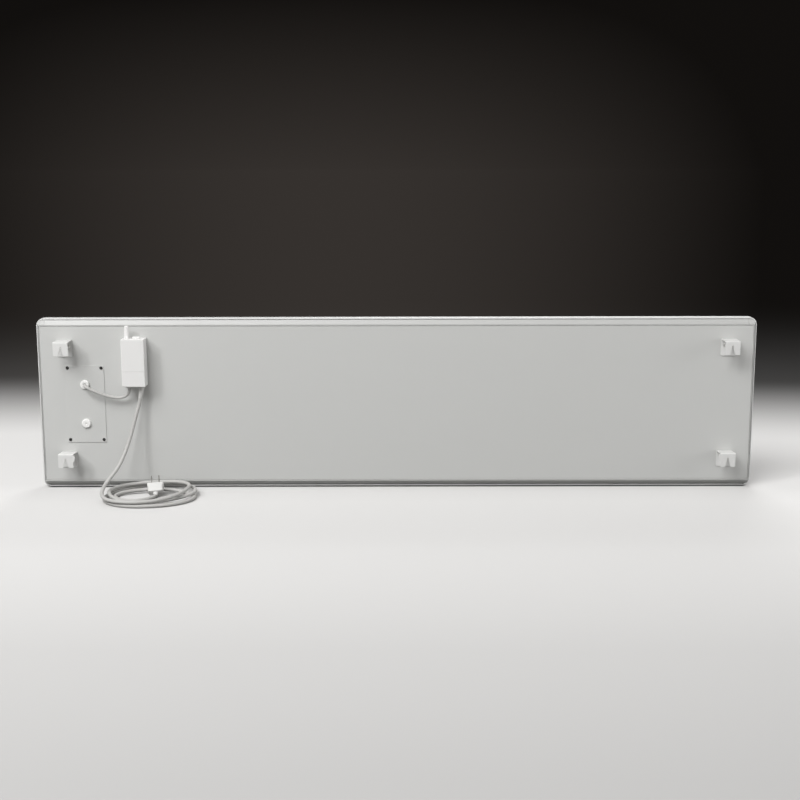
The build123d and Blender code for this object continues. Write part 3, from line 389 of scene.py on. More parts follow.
def floor_material():
    material, tree, shader = new_material("studio_paper")
    place = node(tree, "ShaderNodeSeparateXYZ")
    tree.links.new(object_place(tree), place.inputs[0])
    x, y = place.outputs["X"], place.outputs["Y"]
    # A quick fall behind the panel, with a long faint tail.
    aslant = maths(tree, "MULTIPLY_ADD", maths(tree, "MAXIMUM", x, 0.0), FADE_TURN, y)
    fall = smooth_fall(tree, aslant, FADE_START, FADE_END)
    tail = smooth_fall(tree, y, TAIL_START, TAIL_END, "LINEAR")
    tail = maths(tree, "POWER", tail, 3.0)
    fade = maths(tree, "MULTIPLY_ADD", tail, TAIL_LEVEL, fall, clamp=True)
    # Far off in front and to the sides the paper ends in the same charcoal.
    nearer = maths(tree, "MULTIPLY", y, -1.0)
    sideways = maths(tree, "ABSOLUTE", x)
    for way, edge in ((nearer, -FAR_FRONT), (sideways, FAR_SIDE)):
        fade = maths(tree, "MULTIPLY", fade, smooth_fall(tree, way, edge, edge + FAR_SOFT))
    # Towards the camera the paper is painted a little darker too: painted fall-off of light.
    level = ramp(
        tree, maths(tree, "DIVIDE", nearer, PAPER_REACH),
        [(place / PAPER_REACH, value) for place, value in PAPER_LEVELS],
    )
    # The dark line under the lower edge is painted: these lamps leave it too pale.
    behind_it = smooth_fall(tree, nearer, -CONTACT_NEAR, CONTACT_SOFT - CONTACT_NEAR)
    along_it = smooth_fall(tree, sideways, CONTACT_HALF, CONTACT_HALF + CONTACT_END)
    under = maths(tree, "GREATER_THAN", y, CONTACT_NEAR - CONTACT_SOFT)
    under = maths(tree, "MULTIPLY", under, maths(tree, "LESS_THAN", y, CONTACT_FAR))
    shade = maths(tree, "MULTIPLY", maths(tree, "MULTIPLY", behind_it, along_it), under)
    level = blend_colours(tree, shade, level, (CONTACT_LEVEL,) * 3)
    lit = blend_colours(tree, 1.0, level, PAPER, "MULTIPLY")
    seen = seen_directly(tree)
    paper = blend_colours(tree, seen, PAPER_BOUNCE, lit)
    tree.links.new(paper, shader.inputs["Base Color"])
    feed(shader, Roughness=0.8)
    shader.inputs["Specular IOR Level"].default_value = 0.1
    # The dark part shines with the backdrop's own tone, but only when looked at.
    depth = maths(tree, "ABSOLUTE", maths(tree, "ADD", y, -CAMERA_PLACE[1]))
    aside = maths(tree, "DIVIDE", x, maths(tree, "MAXIMUM", depth, 0.5))
    glow = tree.nodes.new("ShaderNodeEmission")
    tree.links.new(backdrop_glow(tree, aside), glow.inputs["Color"])
    tree.links.new(seen, glow.inputs["Strength"])
    both = tree.nodes.new("ShaderNodeMixShader")
    tree.links.new(fade, both.inputs[0])
    tree.links.new(glow.outputs[0], both.inputs[1])
    tree.links.new(shader.outputs[0], both.inputs[2])
    output = next(n for n in tree.nodes if n.type == "OUTPUT_MATERIAL")
    tree.links.new(both.outputs[0], output.inputs["Surface"])
    return material


def lay_floor():
    mesh = bpy.data.meshes.new("floor")
    reach = FLOOR_REACH
    corners = [(-reach, -reach, 0), (reach, -reach, 0), (reach, reach, 0), (-reach, reach, 0)]
    mesh.from_pydata(corners, [], [(0, 1, 2, 3)])
    floor = add_object("floor", mesh)
    floor.data.materials.append(floor_material())
    return floor


floor = lay_floor()
print("floor laid at z =", floor.location.z)

# %% [markdown]
# ## Light
#
# The photograph is lit very softly from above and in front. A second, small lamp
# low on the left is weak, but its shadows have an edge: the receiver box and the
# hooks each throw one to their right and down. A lamp on the right keeps the
# sides that face it from going grey, and a last one lights the heated face,
# which this view doesn't show. The world fills the shade, and shows the charcoal
# only to the camera and to gloss.

# %% World
AMBIENT = (1.0, 0.99, 0.98)
AMBIENT_LEVEL = 0.34
HORIZON_TONE, TONE_PER_RISE = 0.85, -6.3


def dress_world():
    world = bpy.data.worlds.new("dark_studio")
    bpy.context.scene.world = world
    world.use_nodes = True
    tree = world.node_tree
    tree.nodes.clear()
    output = tree.nodes.new("ShaderNodeOutputWorld")
    way = tree.nodes.new("ShaderNodeTexCoord")
    parts = node(tree, "ShaderNodeSeparateXYZ")
    tree.links.new(way.outputs["Generated"], parts.inputs[0])
    ahead = maths(tree, "ABSOLUTE", parts.outputs["Y"])
    aside = maths(tree, "DIVIDE", parts.outputs["X"], maths(tree, "MAXIMUM", ahead, 0.05))
    dimmer = maths(
        tree, "MULTIPLY_ADD", parts.outputs["Z"], TONE_PER_RISE, HORIZON_TONE, clamp=True
    )
    backdrop = tree.nodes.new("ShaderNodeBackground")
    tree.links.new(backdrop_glow(tree, aside, dimmer), backdrop.inputs["Color"])
    fill = feed(
        tree.nodes.new("ShaderNodeBackground"),
        Color=(*AMBIENT, 1.0), Strength=AMBIENT_LEVEL,
    )
    both = tree.nodes.new("ShaderNodeMixShader")
    tree.links.new(seen_directly(tree), both.inputs[0])
    tree.links.new(fill.outputs[0], both.inputs[1])
    tree.links.new(backdrop.outputs[0], both.inputs[2])
    tree.links.new(both.outputs[0], output.inputs["Surface"])


dress_world()
print("world ambient", AMBIENT_LEVEL)

# %% Lamps
def soft_lamp(name, place, target, width, depth, level):
    """A rectangular area lamp that points from its place at a target.

    level 1 makes a white surface that faces the lamp, at the target, just white.
    """
    way = Vector(target) - Vector(place)
    light = bpy.data.lights.new(name, "AREA")
    light.shape = "RECTANGLE"
    light.size, light.size_y = width, depth
    light.energy = level * math.pi ** 2 * way.length_squared
    lamp = add_object(name, light)
    turn = way.to_track_quat("-Z", "Y").to_matrix().to_4x4()
    lamp.matrix_world = Matrix.Translation(place) @ turn
    return lamp


lamps = [
    soft_lamp("overhead_lamp", (-1.9, -2.7, 3.7), (-0.1, 0.0, 0.1), 3.2, 2.0, 0.90),
    soft_lamp("edge_lamp", (-2.145, -1.807, 1.65), (-0.4, 0.0, 0.2), 0.30, 0.30, 0.20),
    soft_lamp("right_lamp", (2.4, -0.5, 0.7), (0.0, 0.0, 0.15), 1.0, 1.0, 0.28),
    soft_lamp("face_lamp", (0.6, 2.9, 2.0), (0.0, 0.0, 0.1), 2.0, 1.5, 0.40),
]
print("lamps", {lamp.name: round(lamp.data.energy) for lamp in lamps})

# %% [markdown]
# ## Shared effects
#
# Three effects come back in many finishes, so each is a node group that is built
# once. Fine grain is the tiny relief of a powder coat or of a textured mould.
# Tone drift is the slow change of colour over a large surface. Handling is the
# uneven gloss that hands and dust leave. Each reads object coordinates, so it
# stays where it is when the object or the camera moves.

# %% Helper: an empty group with named sockets
def shader_group(name, inputs, outputs):
    group = bpy.data.node_groups.new(name, "ShaderNodeTree")
    for label, kind, default in inputs:
        socket = group.interface.new_socket(label, in_out="INPUT", socket_type=kind)
        if default is not None:
            socket.default_value = default
    for label, kind in outputs:
        group.interface.new_socket(label, in_out="OUTPUT", socket_type=kind)
    enter = group.nodes.new("NodeGroupInput")
    leave = group.nodes.new("NodeGroupOutput")
    return group, enter, leave


FLOAT, COLOUR = "NodeSocketFloat", "NodeSocketColor"


# %% Fine grain
def build_fine_grain():
    """Relief of a coat or mould: small cells broken up by a finer noise."""
    group, enter, leave = shader_group(
        "fine_grain",
        [("Grain Size", FLOAT, 0.001), ("Softness", FLOAT, 0.5), ("Depth", FLOAT, 1.0)],
        [("Height", FLOAT), ("Pits", FLOAT)],
    )
    place = object_place(group)
    fine = maths(group, "DIVIDE", 1.0, enter.outputs["Grain Size"])
    noise = feed(group.nodes.new("ShaderNodeTexNoise"), Detail=3.0, Roughness=0.55)
    cells = node(group, "ShaderNodeTexVoronoi", feature="SMOOTH_F1")
    for texture, finer in ((noise, 1.0), (cells, 0.6)):
        group.links.new(place, texture.inputs["Vector"])
        scale = maths(group, "MULTIPLY", fine, finer)
        group.links.new(scale, texture.inputs["Scale"])
    group.links.new(enter.outputs["Softness"], cells.inputs["Smoothness"])
    mixed = maths(group, "MULTIPLY_ADD", cells.outputs["Distance"], 0.6, noise.outputs["Fac"])
    height = maths(group, "MULTIPLY", mixed, enter.outputs["Depth"])
    group.links.new(height, leave.inputs["Height"])
    pits = maths(group, "SUBTRACT", 0.62, noise.outputs["Fac"], clamp=True)
    group.links.new(pits, leave.inputs["Pits"])
    return group


fine_grain = build_fine_grain()
print("group", fine_grain.name)


# %% Tone drift
def build_tone_drift():
    """A colour that wanders a little over the surface, at two scales."""
    group, enter, leave = shader_group(
        "tone_drift",
        [("Color", COLOUR, (0.8, 0.8, 0.8, 1.0)), ("Amount", FLOAT, 0.04),
         ("Patch Size", FLOAT, 0.2)],
        [("Color", COLOUR), ("Mask", FLOAT)],
    )
    place = object_place(group)
    frequency = maths(group, "DIVIDE", 1.0, enter.outputs["Patch Size"])
    broad = feed(group.nodes.new("ShaderNodeTexNoise"), Detail=2.0)
    small = feed(group.nodes.new("ShaderNodeTexNoise"), Detail=4.0)
    for texture, finer in ((broad, 1.0), (small, 9.0)):
        group.links.new(place, texture.inputs["Vector"])
        group.links.new(maths(group, "MULTIPLY", frequency, finer), texture.inputs["Scale"])
    mask = maths(group, "MULTIPLY_ADD", small.outputs["Fac"], 0.35, broad.outputs["Fac"])
    mask = maths(group, "SUBTRACT", mask, 0.175)
    # From 1 - amount to 1 + amount, as a factor on the colour.
    swing = maths(group, "MULTIPLY_ADD", mask, 2.0, -1.0)
    factor = maths(group, "MULTIPLY_ADD", swing, enter.outputs["Amount"], 1.0)
    grey = node(group, "ShaderNodeCombineColor")
    for channel in ("Red", "Green", "Blue"):
        group.links.new(factor, grey.inputs[channel])
    colour = blend_colours(
        group, 1.0, enter.outputs["Color"], grey.outputs[0], "MULTIPLY"
    )
    group.links.new(colour, leave.inputs["Color"])
    group.links.new(mask, leave.inputs["Mask"])
    return group


tone_drift = build_tone_drift()
print("group", tone_drift.name)


# %% Handling
def build_handling():
    """Gloss that varies where hands, cloths and dust have been."""
    group, enter, leave = shader_group(
        "handling",
        [("Roughness", FLOAT, 0.5), ("Unevenness", FLOAT, 0.08),
         ("Streak Size", FLOAT, 0.03), ("Dust", FLOAT, 0.1)],
        [("Roughness", FLOAT), ("Dust", FLOAT)],
    )
    place = object_place(group)
    stretch = node(group, "ShaderNodeMapping")
    stretch.inputs["Scale"].default_value = (1.0, 1.0, 0.35)
    group.links.new(place, stretch.inputs["Vector"])
    smear = feed(group.nodes.new("ShaderNodeTexNoise"), Detail=3.0, Distortion=0.6)
    group.links.new(stretch.outputs[0], smear.inputs["Vector"])
    group.links.new(
        maths(group, "DIVIDE", 1.0, enter.outputs["Streak Size"]), smear.inputs["Scale"]
    )
    swing = maths(group, "SUBTRACT", smear.outputs["Fac"], 0.5)
    rough = maths(
        group, "MULTIPLY_ADD", swing, enter.outputs["Unevenness"], enter.outputs["Roughness"]
    )
    # Dust settles only on what faces up.
    facing = node(group, "ShaderNodeSeparateXYZ")
    normal = group.nodes.new("ShaderNodeNewGeometry").outputs["Normal"]
    group.links.new(normal, facing.inputs[0])
    level = maths(group, "SUBTRACT", facing.outputs["Z"], 0.55, clamp=True)
    specks = feed(group.nodes.new("ShaderNodeTexNoise"), Scale=420.0, Detail=4.0)
    group.links.new(place, specks.inputs["Vector"])
    dust = maths(group, "MULTIPLY", level, specks.outputs["Fac"])
    dust = maths(group, "MULTIPLY", dust, enter.outputs["Dust"])
    group.links.new(dust, leave.inputs["Dust"])
    group.links.new(
        maths(group, "ADD", rough, dust, clamp=True), leave.inputs["Roughness"]
    )
    return group


handling = build_handling()
print("group", handling.name)

# %% [markdown]
# ## Painted and moulded finishes
#
# Powder coat, moulded plastic, rubber and cord sheath all have the same build:
# a colour that drifts a little, a gloss that varies a little, and a fine relief.
# What tells them apart is their numbers. A powder coat has soft bumps about a
# millimetre wide, a spark-eroded mould a sharper grain a third of that, and a
# cord sheath almost none, with a soft sheen.
#
# On the real heater the steel may well have one white throughout. Here the tray,
# the rails, the plate and the hooks each have the grey that fits the picture: they
# are lighter and darker copies of one white, with part of each one's light and
# shade painted into its grey.

# %% Helper: a finish from the three shared effects
DUST_COLOUR = (0.52, 0.50, 0.47)
PIT_SHARE, PIT_SHADE = 0.10, 0.55


def raise_surface(tree, shader, height, strength, distance):
    """Turns a height into the shader's normal."""
    bump = feed(tree.nodes.new("ShaderNodeBump"), Strength=strength, Distance=distance)
    tree.links.new(height, bump.inputs["Height"])
    tree.links.new(bump.outputs["Normal"], shader.inputs["Normal"])


def use_group(tree, group, **values):
    made = tree.nodes.new("ShaderNodeGroup")
    made.node_tree = group
    return feed(made, **values)


def coated(
    name, colour, rough, grain, depth, drift=0.03, patch=0.25, uneven=0.10,
    streak=0.03, dust=0.25, softness=0.5, sharpness=0.35, **shader_values,
):
    """A coat, plastic or rubber. grain and depth are in metres."""
    material, tree, shader = new_material(name)
    tone = use_group(
        tree, tone_drift, Color=(*colour, 1.0), Amount=drift, Patch_Size=patch
    )
    gloss = use_group(
        tree, handling, Roughness=rough, Unevenness=uneven, Streak_Size=streak, Dust=dust
    )
    relief = use_group(
        tree, fine_grain, Grain_Size=grain, Softness=softness, Depth=1.0
    )
    dusted = blend_colours(tree, gloss.outputs["Dust"], tone.outputs["Color"], DUST_COLOUR)
    # Painted shade: the grain's pits are painted a little darker.
    pit_shaded = blend_colours(
        tree, maths(tree, "MULTIPLY", relief.outputs["Pits"], PIT_SHARE),
        dusted, tuple(PIT_SHADE * value for value in colour),
    )
    tree.links.new(pit_shaded, shader.inputs["Base Color"])
    tree.links.new(gloss.outputs["Roughness"], shader.inputs["Roughness"])
    raise_surface(tree, shader, relief.outputs["Height"], sharpness, depth)
    feed(shader, **shader_values)
    return material


finishes = {}

# %% The white coats of the steel
# Painted light and shade: these greys are copies of one white, each lighter or darker.
finishes["white_coat"] = coated(
    "matte_powder_coat", (0.555, 0.558, 0.545), 0.58, 0.0011, 0.00004,
    drift=0.012, patch=0.45, uneven=0.08, streak=0.06,
)
finishes["tray_coat"] = coated(
    "satin_tray_coat", (0.60, 0.60, 0.59), 0.40, 0.0012, 0.00003,
    drift=0.012, patch=0.45, uneven=0.08,
)
finishes["hook_coat"] = coated(
    "bent_sheet_coat", (0.68, 0.68, 0.668), 0.50, 0.0010, 0.00003,
    drift=0.015, patch=0.05,
)
finishes["rail_coat"] = coated(
    "satin_rail_coat", (0.475, 0.477, 0.466), 0.42, 0.0014, 0.00003,
    drift=0.02, patch=0.30, uneven=0.10,
)
finishes["corner_plastic"] = coated(
    "corner_moulding", (0.475, 0.477, 0.466), 0.50, 0.0005, 0.00002, drift=0.02,
)
print("coats", sorted(finishes))

# %% The plastics and rubbers outside
finishes["box_plastic"] = coated(
    "textured_white_moulding", (0.76, 0.755, 0.745), 0.50, 0.00045, 0.000025,
    drift=0.015, patch=0.05, sharpness=0.5,
)
finishes["button_plastic"] = coated(
    "smooth_button_cap", (0.80, 0.795, 0.785), 0.30, 0.0008, 0.000008, drift=0.01,
)
finishes["antenna_plastic"] = coated(
    "soft_antenna_sleeve", (0.80, 0.79, 0.78), 0.55, 0.0006, 0.00002, drift=0.02,
)
finishes["grommet_rubber"] = coated(
    "white_grommet_rubber", (0.82, 0.815, 0.80), 0.62, 0.0004, 0.00002,
    drift=0.03, patch=0.01,
)
finishes["gland_plastic"] = coated(
    "grey_gland_moulding", (0.56, 0.555, 0.54), 0.55, 0.0005, 0.00002, drift=0.03,
)
finishes["cord_sheath"] = coated(
    "light_grey_sheath", (0.46, 0.455, 0.44), 0.50, 0.0009, 0.00002,
    drift=0.05, patch=0.06, uneven=0.16, streak=0.02,
)
finishes["plug_plastic"] = coated(
    "moulded_plug_body", (0.64, 0.635, 0.62), 0.42, 0.0006, 0.000012, drift=0.02,
)
print("plastics", len(finishes))

# %% The pieces inside
finishes["foam"] = coated(
    "foam_tape", (0.30, 0.30, 0.30), 0.9, 0.0012, 0.0002, drift=0.08, patch=0.01,
    sharpness=0.9,
)
finishes["terminal_plastic"] = coated(
    "natural_polyamide", (0.76, 0.73, 0.64), 0.45, 0.0008, 0.00002, drift=0.03,
)
finishes["black_plastic"] = coated(
    "black_phenolic", (0.035, 0.034, 0.033), 0.42, 0.0006, 0.00002, drift=0.10,
)
finishes["relay_plastic"] = coated(
    "blue_relay_case", (0.05, 0.12, 0.35), 0.35, 0.0009, 0.00001, drift=0.05,
)
finishes["insulation_felt"] = coated(
    "pressed_mineral_fibre", (0.74, 0.70, 0.60), 0.95, 0.0025, 0.0004,
    drift=0.12, patch=0.04, sharpness=1.0,
)
finishes["core_sheath"] = coated(
    "brown_core_insulation", (0.30, 0.15, 0.08), 0.40, 0.0008, 0.00001, drift=0.05,
)
print("inner finishes", len(finishes))

# %% [markdown]
# ## Metals
#
# Zinc plate on formed sheet shows soft spangles and fine lines left by the
# rolling mill. Nickel on the plug's blades is smoother, with drawn lines along
# the blade. Copper strip is the same build in another colour. All three are
# fully metallic, so their colour is their reflection.

# %% Helper: a rolled or plated metal
LINE_STRENGTH, LINE_DEPTH = 0.25, 0.00001
SPANGLE_SHADE, LINE_GLOSS = 0.72, 0.18


def plated(name, colour, rough, line_size, spangle, spangle_size, stretch):
    material, tree, shader = new_material(name)
    place = object_place(tree)
    along = node(tree, "ShaderNodeMapping")
    along.inputs["Scale"].default_value = stretch
    tree.links.new(place, along.inputs["Vector"])
    lines = feed(tree.nodes.new("ShaderNodeTexNoise"), Scale=1.0 / line_size, Detail=2.0)
    tree.links.new(along.outputs[0], lines.inputs["Vector"])
    flakes = feed(tree.nodes.new("ShaderNodeTexVoronoi"), Scale=1.0 / spangle_size)
    tree.links.new(place, flakes.inputs["Vector"])
    flake = node(tree, "ShaderNodeSeparateColor")
    tree.links.new(flakes.outputs["Color"], flake.inputs[0])
    tone = maths(tree, "MULTIPLY", flake.outputs[0], spangle)
    darker = tuple(SPANGLE_SHADE * value for value in colour)
    tree.links.new(blend_colours(tree, tone, colour, darker), shader.inputs["Base Color"])
    swing = maths(
        tree, "MULTIPLY_ADD", lines.outputs["Fac"], LINE_GLOSS, rough - LINE_GLOSS / 2
    )
    tree.links.new(swing, shader.inputs["Roughness"])
    raise_surface(tree, shader, lines.outputs["Fac"], LINE_STRENGTH, LINE_DEPTH)
    feed(shader, Metallic=1.0)
    return material


finishes["zinc_steel"] = plated(
    "zinc_plated_steel", (0.62, 0.62, 0.60), 0.38, 0.0006, 0.5, 0.004, (0.1, 1, 1)
)
finishes["blade_metal"] = plated(
    "nickel_plated_brass", (0.40, 0.385, 0.355), 0.30, 0.0003, 0.1, 0.002, (1, 0.1, 0.1)
)
finishes["copper"] = plated(
    "rolled_copper", (0.72, 0.40, 0.24), 0.34, 0.0006, 0.2, 0.006, (1, 1, 0.1)
)
finishes["dark_screw"] = coated(
    "black_oxide", (0.030, 0.029, 0.028), 0.36, 0.0004, 0.00001, drift=0.15,
    patch=0.002, Metallic=0.6,
)
print("metals", [finishes[slot].name for slot in ("zinc_steel", "blade_metal", "copper")])

# %% [markdown]
# ## Two printed boards
#
# The heating board carries a carbon print in long side-by-side bands, and the
# receiver's circuit board carries copper tracks under a green mask. Both are
# hidden inside, but the model can be opened, so each has its own pattern.

# %% Printed boards
BAND_STRENGTH, BAND_DEPTH = 0.4, 0.00004


def printed(name, ground, track, band, stretch, rough):
    """A board with bands of another tone, straight or stepped."""
    material, tree, shader = new_material(name)
    along = node(tree, "ShaderNodeMapping")
    along.inputs["Scale"].default_value = stretch
    tree.links.new(object_place(tree), along.inputs["Vector"])
    bands = node(tree, "ShaderNodeTexBrick")
    feed(bands, Scale=1.0 / band, Mortar_Size=0.06, Brick_Width=3.0, Row_Height=0.5)
    feed(bands, Color1=(*ground, 1.0), Color2=(*(1.15 * v for v in ground), 1.0),
         Mortar=(*track, 1.0))
    tree.links.new(along.outputs[0], bands.inputs["Vector"])
    tone = use_group(tree, tone_drift, Amount=0.06, Patch_Size=0.03)
    tree.links.new(bands.outputs["Color"], tone.inputs["Color"])
    tree.links.new(tone.outputs["Color"], shader.inputs["Base Color"])
    raise_surface(tree, shader, bands.outputs["Fac"], BAND_STRENGTH, BAND_DEPTH)
    gloss = use_group(tree, handling, Roughness=rough, Unevenness=0.1, Dust=0.0)
    tree.links.new(gloss.outputs["Roughness"], shader.inputs["Roughness"])
    return material


finishes["heating_laminate"] = printed(
    "carbon_heating_print", (0.035, 0.033, 0.032), (0.16, 0.15, 0.13), 0.012,
    (0.2, 1.0, 1.0), 0.55,
)
finishes["circuit_laminate"] = printed(
    "green_circuit_mask", (0.02, 0.13, 0.05), (0.05, 0.26, 0.10), 0.0022,
    (1.0, 1.0, 1.0), 0.35,
)
print("all finishes", len(finishes))

# %% [markdown]
# ## Give every solid its finish
#
# The record names a material slot for each solid piece, so one loop dresses the
# whole object. Only the slots change. The solids' own meshes stay as they are.

# %% Assign the finishes by slot
slot_of_node = {
    part["node"]: part["material_slot"] for part in frame["record"]["subparts"]
}
for name, solid in nodes.items():
    slot = slot_of_node[name]
    solid.data.materials.clear()
    solid.data.materials.append(finishes[slot])
print("dressed", len(slot_of_node), "solids")


def belongs(piece, slot, *solids):
    """Finish, body and the solids that a piece stands in for."""
    if not piece.data.materials:
        piece.data.materials.append(finishes[slot])
    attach(piece, "heater")
    if solids:
        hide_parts(*solids)
    return piece


for cord in (mains_cord, link_cable):
    belongs(cord, "cord_sheath")

# %% [markdown]
# ## Heads that repeat: screws and rivets
#
# Four dark screws hold the access plate, and two rivets hold each hook. All have
# the same build: a shank, and a low dome on it. The screws have a cross cut into
# the dome, too. One Geometry Nodes tree makes them all. It takes a cloud of
# points, builds one head from its sizes, cuts the cross and puts a copy on each
# point. The copies are realized, because an exported file keeps no instances.

# %% Helpers for Geometry Nodes
def shape_tree(name, inputs):
    """A Geometry Nodes tree with a geometry in and out, and its named sizes."""
    tree = bpy.data.node_groups.new(name, "GeometryNodeTree")
    tree.interface.new_socket("Geometry", in_out="INPUT", socket_type="NodeSocketGeometry")
    for label, kind in inputs:
        tree.interface.new_socket(label, in_out="INPUT", socket_type=kind)
    tree.interface.new_socket("Geometry", in_out="OUTPUT", socket_type="NodeSocketGeometry")
    return tree, tree.nodes.new("NodeGroupInput"), tree.nodes.new("NodeGroupOutput")


def wire(tree, *pairs):
    for source, target in pairs:
        tree.links.new(source, target)


def vector(tree, x=0.0, y=0.0, z=0.0):
    """A vector whose parts are sockets or plain values."""
    made = tree.nodes.new("ShaderNodeCombineXYZ")
    for index, value in enumerate((x, y, z)):
        put(tree, value, made.inputs[index])
    return made.outputs[0]


def moved(tree, geometry, place):
    made = tree.nodes.new("GeometryNodeTransform")
    wire(tree, (geometry, made.inputs["Geometry"]), (place, made.inputs["Translation"]))
    return made.outputs["Geometry"]


def finish_tree(tree, leave, geometry, material):
    """Realize the copies and give them the material."""
    real = tree.nodes.new("GeometryNodeRealizeInstances")
    dressed = tree.nodes.new("GeometryNodeSetMaterial")
    wire(
        tree, (geometry, real.inputs[0]), (real.outputs[0], dressed.inputs["Geometry"]),
        (material, dressed.inputs["Material"]), (dressed.outputs[0], leave.inputs[0]),
    )


def grown(name, base_mesh, tree, **sizes):
    """Runs a tree on a mesh and keeps the result as a plain mesh object."""
    seed = add_object(name + "_seed", base_mesh)
    modifier = seed.modifiers.new("grow", "NODES")
    modifier.node_group = tree
    for item in tree.interface.items_tree:
        label = item.name.replace(" ", "_")
        if item.in_out == "INPUT" and label in sizes:
            modifier[item.identifier] = sizes[label]
    shape = seed.evaluated_get(bpy.context.evaluated_depsgraph_get())
    mesh = bpy.data.meshes.new_from_object(shape)
    mesh.name = name
    seed.modifiers.clear()
    bpy.data.objects.remove(seed)
    return placed(name, mesh)


def placed(name, mesh, crease=35):
    """A mesh object at the origin with soft edges below an angle."""
    shape = bmesh.new()
    shape.from_mesh(mesh)
    bmesh.ops.remove_doubles(shape, verts=shape.verts, dist=1e-6)
    bmesh.ops.recalc_face_normals(shape, faces=shape.faces)
    for edge in shape.edges:
        edge.smooth = edge.calc_face_angle(math.pi) < math.radians(crease)
    for face in shape.faces:
        face.smooth = True
    shape.to_mesh(mesh)
    shape.free()
    return add_object(name, mesh)


def point_cloud(name, places_mm):
    mesh = bpy.data.meshes.new(name)
    mesh.from_pydata([[MM * value for value in place] for place in places_mm], [], [])
    return mesh


# %% The tree for a domed head on a shank
HEAD_SEGMENTS, HEAD_RINGS, SHANK_SIDES = 28, 16, 20
CROSS_REACH, BAR_HEIGHT = 1.15, 1.5  # shares of the head's radius and height


def build_domed_heads():
    tree, enter, leave = shape_tree(
        "domed_heads",
        [(label, "NodeSocketFloat") for label in (
            "Head Radius", "Head Height", "Shank Radius", "Shank Length",
            "Cross Width", "Cross Depth")] + [("Material", "NodeSocketMaterial")],
    )
    size = enter.outputs
    ball = tree.nodes.new("GeometryNodeMeshUVSphere")
    feed(ball, Segments=HEAD_SEGMENTS, Rings=HEAD_RINGS)
    wire(tree, (size["Head Radius"], ball.inputs["Radius"]))
    # The lower half is pressed into a short straight rim, the upper into a dome.
    where = tree.nodes.new("GeometryNodeInputPosition")
    parts = tree.nodes.new("ShaderNodeSeparateXYZ")
    wire(tree, (where.outputs[0], parts.inputs[0]))
    share = maths(tree, "DIVIDE", parts.outputs["Z"], size["Head Radius"])
    dome = maths(tree, "MULTIPLY", maths(tree, "MAXIMUM", share, 0.0), size["Head Height"])
    press = tree.nodes.new("GeometryNodeSetPosition")
    wire(
        tree, (ball.outputs["Mesh"], press.inputs["Geometry"]),
        (vector(tree, parts.outputs["X"], parts.outputs["Y"], dome), press.inputs["Position"]),
    )
    # Two bars, crossed, reach down from above the dome.
    bars = tree.nodes.new("GeometryNodeJoinGeometry")
    reach = maths(tree, "MULTIPLY", size["Head Radius"], CROSS_REACH)
    for across in (True, False):
        bar = tree.nodes.new("GeometryNodeMeshCube")
        x, y = (reach, size["Cross Width"]) if across else (size["Cross Width"], reach)
        wire(tree, (vector(tree, x, y, size["Head Height"]), bar.inputs["Size"]))
        high = maths(tree, "MULTIPLY", size["Head Height"], BAR_HEIGHT)
        high = maths(tree, "SUBTRACT", high, size["Cross Depth"])
        wire(tree, (moved(tree, bar.outputs["Mesh"], vector(tree, z=high)), bars.inputs[0]))
    cut = node(tree, "GeometryNodeMeshBoolean", operation="DIFFERENCE", solver="EXACT")
    cut.inputs["Self Intersection"].default_value = True
    wire(
        tree, (press.outputs[0], cut.inputs["Mesh 1"]),
        (bars.outputs[0], cut.inputs["Mesh 2"]),
    )
    shank = tree.nodes.new("GeometryNodeMeshCylinder")
    feed(shank, Vertices=SHANK_SIDES)
    wire(
        tree, (size["Shank Radius"], shank.inputs["Radius"]),
        (size["Shank Length"], shank.inputs["Depth"]),
    )
    low = maths(tree, "MULTIPLY", size["Shank Length"], -0.5)
    whole = tree.nodes.new("GeometryNodeJoinGeometry")
    wire(
        tree, (moved(tree, shank.outputs["Mesh"], vector(tree, z=low)), whole.inputs[0]),
        (cut.outputs["Mesh"], whole.inputs[0]),
    )
    spread = tree.nodes.new("GeometryNodeInstanceOnPoints")
    # +Z of a head turns to face the wall, which is -Y.
    spread.inputs["Rotation"].default_value = (math.radians(90), 0.0, 0.0)
    wire(
        tree, (enter.outputs["Geometry"], spread.inputs["Points"]),
        (whole.outputs[0], spread.inputs["Instance"]),
    )
    finish_tree(tree, leave, spread.outputs[0], size["Material"])
    return tree


domed_heads = build_domed_heads()
print("tree", domed_heads.name)

# %% Screws of the access plate
SCREW_PLACES = [
    (x, 5.0, z) for x in (-573.1, -514.3) for z in (86.35, 213.65)
]
screws = grown(
    "cross_screws", point_cloud("screw_places", SCREW_PLACES), domed_heads,
    Head_Radius=0.0028, Head_Height=0.0017, Shank_Radius=0.0017, Shank_Length=0.006,
    Cross_Width=0.0008, Cross_Depth=0.0009, Material=finishes["dark_screw"],
)
belongs(screws, "dark_screw", "access_screws")
print("screws", len(SCREW_PLACES), "faces", len(screws.data.polygons))

# %% Rivets of the hooks
X_HOOK, RIVET_HALF_PITCH, RIVET_DROP = 576.0, 6.0, 11.0
HOOK_TOPS = {"upper": 263.0, "lower": 66.5}
RIVET_PLACES = [
    (side * X_HOOK + half, 4.5, top - RIVET_DROP)
    for side in (-1, 1) for half in (-RIVET_HALF_PITCH, RIVET_HALF_PITCH)
    for top in HOOK_TOPS.values()
]
rivets = grown(
    "domed_rivets", point_cloud("rivet_places", RIVET_PLACES), domed_heads,
    Head_Radius=0.00325, Head_Height=0.0014, Shank_Radius=0.002, Shank_Length=0.0057,
    # A negative depth lifts the bars clear of the dome, so a rivet has no cross.
    Cross_Width=0.0002, Cross_Depth=-0.001, Material=finishes["zinc_steel"],
)
belongs(rivets, "zinc_steel", "hook_rivets")
print("rivets", len(RIVET_PLACES), "faces", len(rivets.data.polygons))

# %% [markdown]
# ## The strain relief
#
# Where the mains cord leaves the box, a soft sleeve keeps it from kinking. It
# tapers, and rings cut into it let it bend. That shape follows a rule along a
# line, so a second tree draws a line, sets a radius at each step from the taper
# and the rings, and sweeps a circle along it.

